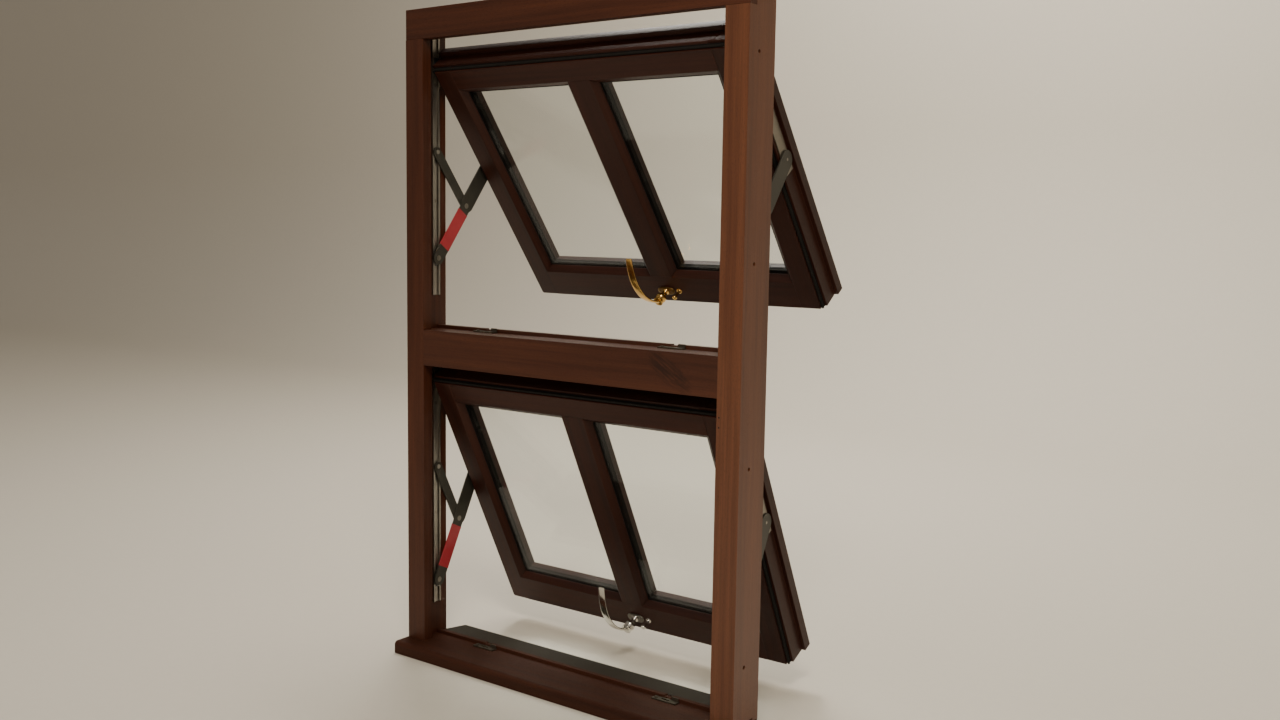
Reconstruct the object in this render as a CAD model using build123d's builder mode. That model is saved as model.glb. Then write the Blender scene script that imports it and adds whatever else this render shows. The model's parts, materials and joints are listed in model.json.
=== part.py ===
from build123d import *
import os
from math import cos, radians, sin

os.makedirs("parts", exist_ok=True)

# A timber window with two outward opening sashes, one above the other. Each sash hangs
# on a pair of side stays: its top runs down in a track while its foot swings out.
# Millimetres. X across the window, +Y to the open air, +Z up. The origin lies on the
# flat underside of the sill, under the middle of the frame depth.

# Frame
frame_width = 900
frame_depth = 92
frame_height = 1468
jamb_face = 53
rebate_set_back = 22
lip_depth = 25
sill_height = 29
transom_height = 81
head_height = 66
nosing_reach = 45
nosing_round = 9
upstand_front = 61
upstand_depth = 12
upstand_height = 8
fall_start = 2.5
fall_slope = 0.115
drip_reach = 58
drip_thickness = 3
drip_nose = 12
drip_side_gap = 7
fixing_hole_radius = 4
fixing_hole_depth_line = -10
fixing_first_height = 150
fixing_last_drop = 148
pivot_block_height = 24

# Sash, measured from its room face outward (n) and from its top edge down (v)
sash_side_gap = 4
middle_side_gap = 15
outer_side_gap = 6
top_gap = 4
bottom_gap = 12
middle_start = 12
outer_start = 52
sash_depth = 74
middle_rise = 11
outer_rise = 20
stile_face = 46.5
top_rail_face = 46.5
bottom_rail_face = 69
bar_face = 58
bevel_width = 13
bevel_depth = 12
glazing_lip = 2
rebate_width = 14
rebate_end = 58
lip_set_in = 38.5
glass_start = 15
pane_thickness = 4
cavity = 12
glass_edge_cover = 12
gasket_proud = 2
spacer_proud = 5.5
bead_start = 36
bead_chamfer = 6
bead_mitre_gap = 0.2
spacer_cover = 10.5
gasket_cover = 11.5
gasket_thickness = 1
seal_width = 6
seal_start = 2

# Stays
pivot_depth = 32
room_gap = 1.5
stay_clearance = 30
arm_share = 0.45
side_link_share = 0.25
arm_width = 30
arm_plate_width = 38
link_width = 23
metal_thickness = 3
pin_radius = 3
pin_clearance = 0.05
plate_thickness = 2.5
layer_gap = 0.5
track_width = 22
track_depth = 5
track_wall = 1.5
track_lip = 1.2
track_slot_half = 6.5
track_top_spare = 4
track_foot_spare = 7
shoe_half_length = 18
shoe_side_gap = 0.6
shoe_neck_gap = 0.9
shoe_boss_radius = 6
shoe_proud = 0.2
side_gap = 0.4
sleeve_thickness = 0.2
sleeve_overlap = 1.5
sleeve_length = 102
sleeve_middle = 81
sleeve_end_gap = 4
plate_width = 28
plate_head = 9
plate_tail = 30
pin_head_radius = 5
pin_head_sunk = 1.6
pin_head_proud = 0.15
pin_end_gap = 0.3

# Lock and handle
handle_rise = 30
rod_depth = 25.5
rod_drop = 8
cam_set_in = 139
cam_travel = 20
cam_radius = 5
cam_stem_radius = 3.5
cam_reach = 5.5
rod_width = 12
rod_thickness = 3
rod_end_spare = 21
rod_rise_length = 50
rod_rise_shift = 5
drum_gap = 0.4
cam_head_height = 3
groove_width = 16
groove_end_spare = 56
groove_depth = 12
pocket_length = 120
pocket_height = 34
pocket_drop = 2
slot_end_gap = 0.8
slot_side_gap = 0.6
strip_thickness = 2.5
keep_length = 60
keep_width = 16
keep_thickness = 3
hook_thickness = 2.5
hook_height = 7
hook_gap = 0.5
notch_width = 16
notch_floor = 5
keep_slot_length = 20
keep_slot_width = 5
keep_screw_radius = 4
keep_screw_height = 1.2
keep_screw_shift = 22
spindle_radius = 5
spindle_start = 20
drum_radius = 12
drum_start = 31
drum_depth = 11
backplate_length = 46
backplate_height = 22
backplate_round = 10
backplate_thickness = 4
backplate_chamfer = 1
neck_radius = 9
neck_start = 4.4
neck_length = 7
ball_radius = 13
ball_reach = 29
collar_radius = 11.8
collar_start = 37
collar_length = 5
handle_width = 16
strap_thickness = 5
# Strap of the handle: drop below the spindle and reach into the room, point by point
strap_drop = [0, -8, -26, -52, -85, -118, -149]
strap_reach = [41, 52, 69, 83, 89, 85, 75]

# Values that follow from the ones above
half_width = frame_width / 2
back = frame_depth / 2
front = -back
jamb_inner = half_width - jamb_face
rebate_inner = jamb_inner + rebate_set_back
lip_back = front + lip_depth
light_height = (frame_height - sill_height - transom_height - head_height) / 2
fixing_hole_spacing = (frame_height - fixing_first_height - fixing_last_drop) / 3
transom_bottom = sill_height + light_height
transom_top = transom_bottom + transom_height
head_bottom = transom_top + light_height
closed_face = lip_back + room_gap
track_line = closed_face + pivot_depth
upstand_y = front + upstand_front
upstand_back = upstand_y + upstand_depth
drip_half_width = rebate_inner - drip_side_gap
sash_half_width = jamb_inner - sash_side_gap
middle_half_width = rebate_inner - middle_side_gap
outer_half_width = rebate_inner - outer_side_gap
sash_height = light_height - top_gap - bottom_gap
sight_x = sash_half_width - stile_face - bevel_width
rebate_x = sight_x + rebate_width
lip_x = sight_x + lip_set_in
bar_half = bar_face / 2
bar_sight = bar_half + bevel_width
top_sight = top_rail_face + bevel_width
bottom_face_v = sash_height - bottom_rail_face
bottom_sight = bottom_face_v - bevel_width
lip_n = bevel_depth + glazing_lip
glass_end = glass_start + 2 * pane_thickness + cavity
opening_middle_x = (sight_x + bar_sight) / 2
opening_middle_v = (top_sight + bottom_sight) / 2
opening_width = sight_x - bar_sight
opening_height = bottom_sight - top_sight

arm_length = arm_share * (sash_height - stay_clearance)
side_link_length = side_link_share * (sash_height - stay_clearance)
top_travel_arm = 2 * (arm_length - side_link_length)
foot_travel_arm = 2 * side_link_length
track_above = top_travel_arm + shoe_half_length + track_top_spare
track_below = foot_travel_arm + shoe_half_length + track_foot_spare
plate_x = middle_half_width + plate_thickness
arm_x = plate_x + layer_gap
link_x = arm_x + metal_thickness + layer_gap
track_x = rebate_inner - track_depth
track_base_x = rebate_inner - track_wall
shoe_outer_x = track_base_x - side_gap
shoe_inner_x = track_x + track_lip + side_gap
hole_radius = pin_radius + pin_clearance

handle_v = sash_height - handle_rise
cam_x = sash_half_width - cam_set_in
rod_half_length = cam_x + rod_end_spare
groove_half_length = cam_x + groove_end_spare

# For each light: its name, the height of the fixed stay pivot and the resting angle
upper_pivot_z = head_bottom - top_gap - top_travel_arm
lower_pivot_z = transom_bottom - top_gap - top_travel_arm
lights = [("upper", upper_pivot_z, 36.68), ("lower", lower_pivot_z, 25.9)]


def across(place, start):
    """A section plane across X, set in the frame of reference of a moving piece."""
    return Plane(place * Plane.YZ.offset(start).location)


def side_section(place, near, far, side):
    """The section plane from which a slab between near and far is drawn outward."""
    start = near if side > 0 else -far
    return across(place, start)


def along(place, height):
    """A section plane across Z, in the frame of reference of a moving piece."""
    return Plane(place * Plane.XY.offset(height).location)


def facing(place, n):
    """A plane parallel to the sash face, n outward of that face."""
    return Plane(place * Plane.XZ.offset(pivot_depth - n).location)


def nv(n, v):
    """Outward distance and drop on the sash, as coordinates of a section across X."""
    return (n - pivot_depth, -v)


def xn(x, n):
    """Side distance and outward distance, as coordinates of a section across Z."""
    return (x, n - pivot_depth)


def opening_at(side):
    """Middle of the left or right glazed opening on a plane parallel to the face."""
    return (side * opening_middle_x, -opening_middle_v)


def floor_profile(floor, reach):
    """Top outline of the sill and the transom, from the room side to the open air."""
    fall_top = floor + upstand_height - fall_start - drip_thickness
    if reach > 0:
        fall_top = floor + upstand_height - fall_start
    fall_end = fall_top - fall_slope * (back - upstand_back)
    return [
        (upstand_y, floor),
        (upstand_y, floor + upstand_height),
        (upstand_back, floor + upstand_height),
        (upstand_back, fall_top),
        (back, fall_end),
    ]


still = Location((0, 0, 0))

# Sill with its nosing toward the room, its upstand and the fall behind it
with BuildPart() as frame_sill:
    with BuildSketch(across(still, -half_width)) as sill_section:
        with BuildLine():
            Polyline(
                (front - nosing_reach, 0),
                (front - nosing_reach, sill_height),
                *floor_profile(sill_height, 0),
                (back, 0),
                close=True,
            )
        make_face()
    extrude(amount=frame_width)
    fillet(
        frame_sill.edges().filter_by(Axis.X).group_by(Axis.Y)[0].sort_by(Axis.Z)[-1],
        radius=nosing_round,
    )
    # Passages in the upstand for the cams
    with BuildSketch(Plane.XY.offset(sill_height + notch_floor)) as sill_notches:
        with Locations((-cam_x, upstand_y + upstand_depth / 2), (cam_x, upstand_y + upstand_depth / 2)):
            Rectangle(notch_width, upstand_depth)
    extrude(amount=upstand_height, mode=Mode.SUBTRACT)
frame_sill.part.label = "frame_sill"
export_step(frame_sill.part, "parts/frame_sill.step")

# Head
with BuildPart() as frame_head:
    with BuildSketch(across(still, -half_width)) as head_section:
        with BuildLine():
            Polyline(
                (front, head_bottom),
                (lip_back, head_bottom),
                (lip_back, head_bottom + rebate_set_back),
                (back, head_bottom + rebate_set_back),
                (back, frame_height),
                (front, frame_height),
                close=True,
            )
        make_face()
    extrude(amount=frame_width)
frame_head.part.label = "frame_head"
export_step(frame_head.part, "parts/frame_head.step")

# Jambs, scribed over the sill and under the head, with the fixing holes
with BuildPart() as jamb_right:
    with BuildSketch(Plane.XY) as jamb_section:
        with BuildLine():
            Polyline(
                (jamb_inner, front),
                (half_width, front),
                (half_width, back),
                (rebate_inner, back),
                (rebate_inner, lip_back),
                (jamb_inner, lip_back),
                close=True,
            )
        make_face()
    extrude(amount=frame_height)
    add(frame_sill.part, mode=Mode.SUBTRACT)
    add(frame_head.part, mode=Mode.SUBTRACT)
    with BuildSketch(across(still, rebate_inner - 1)) as fixing_holes:
        for step in range(4):
            with Locations((fixing_hole_depth_line, fixing_first_height + step * fixing_hole_spacing)):
                Circle(fixing_hole_radius)
    extrude(amount=half_width, mode=Mode.SUBTRACT)
jamb_right.part.label = "jamb_right"
export_step(jamb_right.part, "parts/jamb_right.step")

with BuildPart() as jamb_left:
    add(mirror(jamb_right.part, about=Plane.YZ))
jamb_left.part.label = "jamb_left"
export_step(jamb_left.part, "parts/jamb_left.step")

# Transom between the two lights
with BuildPart() as frame_transom:
    with BuildSketch(across(still, -rebate_inner)) as transom_section:
        with BuildLine():
            Polyline(
                (front, transom_bottom),
                (front, transom_top),
                *floor_profile(transom_top, 1),
                (back, transom_bottom + rebate_set_back),
                (lip_back, transom_bottom + rebate_set_back),
                (lip_back, transom_bottom),
                close=True,
            )
        make_face()
    extrude(amount=2 * rebate_inner)
    with BuildSketch(Plane.XY.offset(transom_top + notch_floor)) as transom_notches:
        with Locations((-cam_x, upstand_y + upstand_depth / 2), (cam_x, upstand_y + upstand_depth / 2)):
            Rectangle(notch_width, upstand_depth)
    extrude(amount=upstand_height, mode=Mode.SUBTRACT)
    add(jamb_left.part, mode=Mode.SUBTRACT)
    add(jamb_right.part, mode=Mode.SUBTRACT)
frame_transom.part.label = "frame_transom"
export_step(frame_transom.part, "parts/frame_transom.step")

# Metal drip sill on the fall of the sill
drip_top = sill_height + upstand_height - fall_start
drip_front = back + drip_reach
drip_drop = fall_slope * (drip_front - upstand_back)
with BuildPart() as drip_sill:
    with BuildSketch(across(still, -drip_half_width)) as drip_section:
        with BuildLine():
            Polyline(
                (upstand_back, drip_top),
                (drip_front, drip_top - drip_drop),
                (drip_front, drip_top - drip_drop - drip_nose),
                (drip_front - drip_thickness, drip_top - drip_drop - drip_nose),
                (drip_front - drip_thickness, drip_top - drip_drop - 0.7 * drip_thickness),
                (upstand_back, drip_top - drip_thickness),
                close=True,
            )
        make_face()
    extrude(amount=2 * drip_half_width)
drip_sill.part.label = "drip_sill"
export_step(drip_sill.part, "parts/drip_sill.step")

# Tracks for the stays, each with its fixed pivot; one per side and light
track_half = track_width / 2
for light, pivot_z, angle in lights:
    for side_name, side in (("left", -1), ("right", 1)):
        place = Location((0, track_line, pivot_z))
        with BuildPart() as track:
            with BuildSketch(along(place, -track_below)) as track_section:
                with BuildLine():
                    Polyline(
                        (side * rebate_inner, -track_half),
                        (side * track_x, -track_half),
                        (side * track_x, -track_slot_half),
                        (side * (track_x + track_lip), -track_slot_half),
                        (side * (track_x + track_lip), -track_half + track_wall),
                        (side * track_base_x, -track_half + track_wall),
                        (side * track_base_x, track_half - track_wall),
                        (side * (track_x + track_lip), track_half - track_wall),
                        (side * (track_x + track_lip), track_slot_half),
                        (side * track_x, track_slot_half),
                        (side * track_x, track_half),
                        (side * rebate_inner, track_half),
                        close=True,
                    )
                make_face()
            extrude(amount=track_above + track_below)
            with BuildSketch(side_section(place, track_x, rebate_inner, side)):
                Rectangle(track_width, pivot_block_height)
            extrude(amount=track_depth)
            with BuildSketch(side_section(place, arm_x + metal_thickness, track_x, side)):
                Circle(pin_radius)
            extrude(amount=track_x - arm_x - metal_thickness)
            head_end = arm_x + metal_thickness + pin_head_proud
            with BuildSketch(side_section(place, arm_x + metal_thickness - pin_head_sunk, head_end, side)):
                Circle(pin_head_radius)
            extrude(amount=pin_head_sunk + pin_head_proud)
        track.part.label = light + "_track_" + side_name
        export_step(track.part, "parts/" + light + "_track_" + side_name + ".step")

# Keeps on both floors: plate with slot and screw, and the hook wall the cam goes behind
for light, floor in (("upper", transom_top), ("lower", sill_height)):
    keep_y = closed_face + rod_depth
    hook_y = keep_y + cam_radius + hook_gap
    with BuildPart() as keeps:
        with BuildSketch(Plane.XY.offset(floor)) as keep_plates:
            with Locations((-cam_x, keep_y), (cam_x, keep_y)):
                Rectangle(keep_length, keep_width)
                SlotOverall(keep_slot_length, keep_slot_width, mode=Mode.SUBTRACT)
        extrude(amount=keep_thickness)
        with BuildSketch(Plane.XY.offset(floor)) as keep_hooks:
            hook_mid = hook_y + hook_thickness / 2
            with Locations((-cam_x + cam_travel, hook_mid), (cam_x + cam_travel, hook_mid)):
                Rectangle(keep_width, hook_thickness)
        extrude(amount=keep_thickness + hook_height)
        with BuildSketch(Plane.XY.offset(floor + keep_thickness)) as keep_screws:
            with Locations((-cam_x - keep_screw_shift, keep_y), (cam_x - keep_screw_shift, keep_y)):
                Circle(keep_screw_radius)
        extrude(amount=keep_screw_height)
    keeps.part.label = light + "_keeps"
    export_step(keeps.part, "parts/" + light + "_keeps.step")

# Everything that belongs to one sash, at its resting angle
for light, pivot_z, angle in lights:
    turn = radians(angle)
    hang = Location((0, track_line, pivot_z + top_travel_arm * cos(turn)), (angle, 0, 0))
    arm_place = Location((0, track_line, pivot_z - foot_travel_arm * cos(turn)), (-angle, 0, 0))
    link_place = Location((0, track_line, pivot_z), (angle, 0, 0))
    top_shoe_place = Location((0, track_line, pivot_z + top_travel_arm * cos(turn)))
    foot_shoe_place = Location((0, track_line, pivot_z - foot_travel_arm * cos(turn)))

    # Stiles run the full height, stepped at the top like the top rail
    stile_points = [
        (sash_half_width, 0),
        (sash_half_width - stile_face, 0),
        (sight_x, bevel_depth),
        (sight_x, lip_n),
        (rebate_x, lip_n),
        (rebate_x, rebate_end),
        (lip_x, rebate_end),
        (lip_x, sash_depth),
        (outer_half_width, sash_depth),
        (outer_half_width, outer_start),
        (middle_half_width, outer_start),
        (middle_half_width, middle_start),
        (sash_half_width, middle_start),
    ]
    with BuildPart() as stile_right:
        with BuildSketch(along(hang, -sash_height)):
            with BuildLine():
                Polyline(*[xn(x, n) for x, n in stile_points], close=True)
            make_face()
        extrude(amount=sash_height + outer_rise)
        with BuildSketch(across(hang, 0)):
            with BuildLine():
                Polyline(
                    nv(-1, 0),
                    nv(middle_start, 0),
                    nv(middle_start, -middle_rise),
                    nv(outer_start, -middle_rise),
                    nv(outer_start, -outer_rise),
                    nv(outer_start, -outer_rise - 1),
                    nv(-1, -outer_rise - 1),
                    close=True,
                )
            make_face()
        extrude(amount=half_width, mode=Mode.SUBTRACT)
    stile_right.part.label = light + "_stile_right"
    export_step(stile_right.part, "parts/" + light + "_stile_right.step")

    with BuildPart() as stile_left:
        add(mirror(stile_right.part, about=Plane.YZ))
    stile_left.part.label = light + "_stile_left"
    export_step(stile_left.part, "parts/" + light + "_stile_left.step")

    # Top rail, scribed over the stiles
    with BuildPart() as top_rail:
        with BuildSketch(across(hang, -lip_x)):
            with BuildLine():
                Polyline(
                    nv(0, 0),
                    nv(0, top_rail_face),
                    nv(bevel_depth, top_sight),
                    nv(lip_n, top_sight),
                    nv(lip_n, top_sight - rebate_width),
                    nv(rebate_end, top_sight - rebate_width),
                    nv(rebate_end, top_sight - lip_set_in),
                    nv(sash_depth, top_sight - lip_set_in),
                    nv(sash_depth, -outer_rise),
                    nv(outer_start, -outer_rise),
                    nv(outer_start, -middle_rise),
                    nv(middle_start, -middle_rise),
                    nv(middle_start, 0),
                    close=True,
                )
            make_face()
        extrude(amount=2 * lip_x)
        add(stile_left.part, mode=Mode.SUBTRACT)
        add(stile_right.part, mode=Mode.SUBTRACT)
    top_rail.part.label = light + "_top_rail"
    export_step(top_rail.part, "parts/" + light + "_top_rail.step")

    # Bottom rail, with the groove for the lock rod and the pocket for the drum
    with BuildPart() as bottom_rail:
        with BuildSketch(across(hang, -lip_x)):
            with BuildLine():
                Polyline(
                    nv(0, sash_height),
                    nv(0, bottom_face_v),
                    nv(bevel_depth, bottom_sight),
                    nv(lip_n, bottom_sight),
                    nv(lip_n, bottom_sight + rebate_width),
                    nv(rebate_end, bottom_sight + rebate_width),
                    nv(rebate_end, bottom_sight + lip_set_in),
                    nv(sash_depth, bottom_sight + lip_set_in),
                    nv(sash_depth, sash_height),
                    close=True,
                )
            make_face()
        extrude(amount=2 * lip_x)
        add(stile_left.part, mode=Mode.SUBTRACT)
        add(stile_right.part, mode=Mode.SUBTRACT)
        with BuildSketch(facing(hang, rod_depth - groove_width / 2)):
            with Locations((0, groove_depth / 2 - sash_height)):
                Rectangle(2 * groove_half_length, groove_depth)
            with Locations((0, -handle_v - pocket_drop)):
                Rectangle(pocket_length, pocket_height)
        extrude(amount=-groove_width, mode=Mode.SUBTRACT)
        with BuildSketch(facing(hang, -1)):
            with Locations((0, -handle_v)):
                Circle(spindle_radius + 0.5)
        extrude(amount=-rod_depth, mode=Mode.SUBTRACT)
    bottom_rail.part.label = light + "_bottom_rail"
    export_step(bottom_rail.part, "parts/" + light + "_bottom_rail.step")

    # Glazing bar down the middle, scribed to both rails
    with BuildPart() as glazing_bar:
        with BuildSketch(along(hang, -bottom_sight - rebate_width - 2)):
            with BuildLine():
                Polyline(
                    xn(-bar_half, 0),
                    xn(-bar_sight, bevel_depth),
                    xn(-bar_sight, lip_n),
                    xn(-bar_sight + rebate_width, lip_n),
                    xn(-bar_sight + rebate_width, rebate_end),
                    xn(bar_sight - rebate_width, rebate_end),
                    xn(bar_sight - rebate_width, lip_n),
                    xn(bar_sight, lip_n),
                    xn(bar_sight, bevel_depth),
                    xn(bar_half, 0),
                    close=True,
                )
            make_face()
        extrude(amount=bottom_sight - top_sight + 2 * rebate_width + 4)
        add(top_rail.part, mode=Mode.SUBTRACT)
        add(bottom_rail.part, mode=Mode.SUBTRACT)
    glazing_bar.part.label = light + "_glazing_bar"
    export_step(glazing_bar.part, "parts/" + light + "_glazing_bar.step")

    # Sealed glass units, two panes each, and the beads that hold them from outside
    for side_name, side in (("left", -1), ("right", 1)):
        with BuildPart() as glass:
            for start in (glass_start, glass_start + pane_thickness + cavity):
                with BuildSketch(facing(hang, start)):
                    with Locations(opening_at(side)):
                        Rectangle(opening_width + 2 * glass_edge_cover, opening_height + 2 * glass_edge_cover)
                extrude(amount=-pane_thickness)
        glass.part.label = light + "_glass_" + side_name
        export_step(glass.part, "parts/" + light + "_glass_" + side_name + ".step")

        # Four beads, mitred at the corners of the opening
        middle_x, middle_y = opening_at(side)
        wide = opening_width / 2
        tall = opening_height / 2
        with BuildPart() as beads:
            with BuildSketch(facing(hang, bead_start)):
                with Locations((middle_x, middle_y)):
                    Rectangle(opening_width + 2 * rebate_width, opening_height + 2 * rebate_width)
                    Rectangle(opening_width, opening_height, mode=Mode.SUBTRACT)
            extrude(amount=bead_start - rebate_end)
            bevelled = [
                wire
                for face in beads.faces()
                for wire in face.inner_wires()
                if abs(facing(hang, rebate_end).to_local_coords(face.center()).Z) < 0.01
            ]
            chamfer(bevelled[0].edges(), length=bead_chamfer)
            with BuildSketch(facing(hang, bead_start - 1)):
                for corner_x, corner_y in ((1, 1), (1, -1), (-1, -1), (-1, 1)):
                    corner = (middle_x + corner_x * wide, middle_y + corner_y * tall, 0)
                    with Locations(Location(corner, (0, 0, corner_x * corner_y * 45))):
                        Rectangle(4 * rebate_width, bead_mitre_gap)
            extrude(amount=bead_start - rebate_end - 2, mode=Mode.SUBTRACT)
        beads.part.label = light + "_beads_" + side_name
        export_step(beads.part, "parts/" + light + "_beads_" + side_name + ".step")

    # Black spacer frames between the panes
    with BuildPart() as spacers:
        for side in (-1, 1):
            with BuildSketch(facing(hang, glass_start + pane_thickness)):
                with Locations(opening_at(side)):
                    Rectangle(opening_width + 2 * spacer_cover, opening_height + 2 * spacer_cover)
                    Rectangle(
                        opening_width - 2 * spacer_proud,
                        opening_height - 2 * spacer_proud,
                        mode=Mode.SUBTRACT,
                    )
            extrude(amount=-cavity)
    spacers.part.label = light + "_spacers"
    export_step(spacers.part, "parts/" + light + "_spacers.step")

    # Glazing gaskets on both faces of the glass
    with BuildPart() as gaskets:
        for side in (-1, 1):
            for start in (lip_n, glass_end):
                with BuildSketch(facing(hang, start)):
                    with Locations(opening_at(side)):
                        Rectangle(opening_width + 2 * gasket_cover, opening_height + 2 * gasket_cover)
                        Rectangle(
                            opening_width - 2 * gasket_proud,
                            opening_height - 2 * gasket_proud,
                            mode=Mode.SUBTRACT,
                        )
                extrude(amount=-gasket_thickness)
    gaskets.part.label = light + "_gaskets"
    export_step(gaskets.part, "parts/" + light + "_gaskets.step")

    # Weather seal on the ledge round the sides and the top
    with BuildPart() as weather_seal:
        with BuildSketch(facing(hang, seal_start)):
            with Locations((0, (seal_width - sash_height + seal_width) / 2)):
                Rectangle(2 * (sash_half_width + seal_width), sash_height)
            with Locations((0, -sash_height / 2 - 5)):
                Rectangle(2 * sash_half_width, sash_height + 10, mode=Mode.SUBTRACT)
        extrude(amount=seal_start - middle_start)
    weather_seal.part.label = light + "_weather_seal"
    export_step(weather_seal.part, "parts/" + light + "_weather_seal.step")

    # Plates on the sash sides: hole for the top shoe, pin for the arm
    with BuildPart() as sash_plates:
        for side in (-1, 1):
            with BuildSketch(side_section(hang, middle_half_width, plate_x, side)):
                with Locations((0, -(arm_length + plate_tail - plate_head) / 2)):
                    Rectangle(plate_width, arm_length + plate_tail + plate_head)
                Circle(hole_radius, mode=Mode.SUBTRACT)
            extrude(amount=plate_thickness)
            with BuildSketch(side_section(hang, plate_x, arm_x + metal_thickness, side)):
                with Locations((0, -arm_length)):
                    Circle(pin_radius)
            extrude(amount=metal_thickness + layer_gap)
    sash_plates.part.label = light + "_sash_plates"
    export_step(sash_plates.part, "parts/" + light + "_sash_plates.step")

    # Wide arms, from the foot shoe to the sash, wider still above the sleeve
    for side_name, side in (("left", -1), ("right", 1)):
        with BuildPart() as arm:
            with BuildSketch(side_section(arm_place, arm_x, arm_x + metal_thickness, side)):
                with Locations((0, arm_length / 2)):
                    SlotCenterToCenter(arm_length, arm_width, rotation=90)
                plate_from = sleeve_middle + sleeve_length / 2 + sleeve_end_gap + arm_plate_width / 2
                with Locations((0, (plate_from + arm_length) / 2)):
                    SlotCenterToCenter(arm_length - plate_from, arm_plate_width, rotation=90)
                for height in (0, side_link_length, arm_length):
                    with Locations((0, height)):
                        Circle(hole_radius, mode=Mode.SUBTRACT)
            extrude(amount=metal_thickness)
        arm.part.label = light + "_arm_" + side_name
        export_step(arm.part, "parts/" + light + "_arm_" + side_name + ".step")

    # Sleeves round the lower part of the wide arms
    with BuildPart() as sleeves:
        for side in (-1, 1):
            sleeve_end = arm_x + metal_thickness + sleeve_thickness
            with BuildSketch(side_section(arm_place, arm_x - sleeve_thickness, sleeve_end, side)):
                with Locations((0, sleeve_middle)):
                    Rectangle(arm_width + 2 * sleeve_overlap, sleeve_length)
            extrude(amount=metal_thickness + 2 * sleeve_thickness)
            with BuildSketch(side_section(arm_place, arm_x, arm_x + metal_thickness, side)):
                with Locations((0, sleeve_middle)):
                    Rectangle(arm_width, sleeve_length)
            extrude(amount=metal_thickness, mode=Mode.SUBTRACT)
    sleeves.part.label = light + "_arm_sleeves"
    export_step(sleeves.part, "parts/" + light + "_arm_sleeves.step")

    # Short links, from the fixed pivot to the middle of the arm
    with BuildPart() as links:
        for side in (-1, 1):
            with BuildSketch(side_section(link_place, link_x, link_x + metal_thickness, side)):
                with Locations((0, -side_link_length / 2)):
                    SlotCenterToCenter(side_link_length, link_width, rotation=90)
                Circle(hole_radius, mode=Mode.SUBTRACT)
            extrude(amount=metal_thickness)
            with BuildSketch(side_section(link_place, arm_x, link_x, side)):
                with Locations((0, -side_link_length)):
                    Circle(pin_radius)
            extrude(amount=link_x - arm_x)
    links.part.label = light + "_links"
    export_step(links.part, "parts/" + light + "_links.step")

    # Shoes that run in the tracks: the top pair and the foot pair
    for shoe_name, shoe_place, boss_end in (
        ("top", top_shoe_place, plate_x + layer_gap),
        ("bottom", foot_shoe_place, arm_x + metal_thickness + side_gap),
    ):
        pin_end = middle_half_width + pin_end_gap if shoe_name == "top" else arm_x
        with BuildPart() as shoes:
            for side in (-1, 1):
                with BuildSketch(side_section(shoe_place, shoe_inner_x, shoe_outer_x, side)):
                    Rectangle(track_width - 2 * track_wall - 2 * shoe_side_gap, 2 * shoe_half_length)
                extrude(amount=shoe_outer_x - shoe_inner_x)
                with BuildSketch(side_section(shoe_place, track_x - shoe_proud, shoe_inner_x, side)):
                    Rectangle(2 * track_slot_half - 2 * shoe_neck_gap, 2 * shoe_half_length)
                extrude(amount=shoe_inner_x - track_x + shoe_proud)
                with BuildSketch(side_section(shoe_place, boss_end, track_x - shoe_proud, side)):
                    Circle(shoe_boss_radius)
                extrude(amount=track_x - shoe_proud - boss_end)
                with BuildSketch(side_section(shoe_place, pin_end, boss_end, side)):
                    Circle(pin_radius)
                extrude(amount=boss_end - pin_end)
        shoes.part.label = light + "_" + shoe_name + "_shoes"
        export_step(shoes.part, "parts/" + light + "_" + shoe_name + "_shoes.step")

    # Strip that closes the groove, with slots for the cams
    with BuildPart() as lock_strip:
        with BuildSketch(along(hang, -sash_height)):
            with Locations(xn(0, rod_depth)):
                Rectangle(2 * groove_half_length, groove_width)
            slot_middle = cam_travel / 2
            with Locations(xn(-cam_x + slot_middle, rod_depth), xn(cam_x + slot_middle, rod_depth)):
                slot_length = cam_travel + 2 * (cam_radius + slot_end_gap)
                SlotOverall(slot_length, 2 * (cam_radius + slot_side_gap), mode=Mode.SUBTRACT)
        extrude(amount=strip_thickness)
    lock_strip.part.label = light + "_lock_strip"
    export_step(lock_strip.part, "parts/" + light + "_lock_strip.step")

    # Lock rod with its raised middle and two mushroom cams
    rod_top_v = sash_height - rod_drop
    with BuildPart() as lock_rod:
        with BuildSketch(along(hang, -rod_top_v - rod_thickness)):
            with Locations(xn(0, rod_depth)):
                Rectangle(2 * rod_half_length, rod_width)
        extrude(amount=rod_thickness)
        with BuildSketch(along(hang, -rod_top_v)):
            with Locations(xn(-rod_rise_shift, rod_depth)):
                Rectangle(rod_rise_length, rod_width)
        extrude(amount=rod_top_v - handle_v - drum_radius - drum_gap)
        with BuildSketch(along(hang, -sash_height - cam_reach)):
            with Locations(xn(-cam_x, rod_depth), xn(cam_x, rod_depth)):
                Circle(cam_stem_radius)
        extrude(amount=sash_height + cam_reach - rod_top_v - 1)
        with BuildSketch(along(hang, -sash_height - cam_reach)):
            with Locations(xn(-cam_x, rod_depth), xn(cam_x, rod_depth)):
                Circle(cam_radius)
        extrude(amount=cam_head_height)
    lock_rod.part.label = light + "_lock_rod"
    export_step(lock_rod.part, "parts/" + light + "_lock_rod.step")

    # Backplate of the handle
    with BuildPart() as handle_plate:
        with BuildSketch(facing(hang, 0)):
            with Locations((0, -handle_v)):
                RectangleRounded(backplate_length, backplate_height, backplate_round)
                Circle(spindle_radius + pin_clearance, mode=Mode.SUBTRACT)
        extrude(amount=backplate_thickness)
        chamfer(handle_plate.edges().filter_by(GeomType.LINE).group_by(Axis.Y)[0], length=backplate_chamfer)
    handle_plate.part.label = light + "_handle_plate"
    export_step(handle_plate.part, "parts/" + light + "_handle_plate.step")

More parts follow.
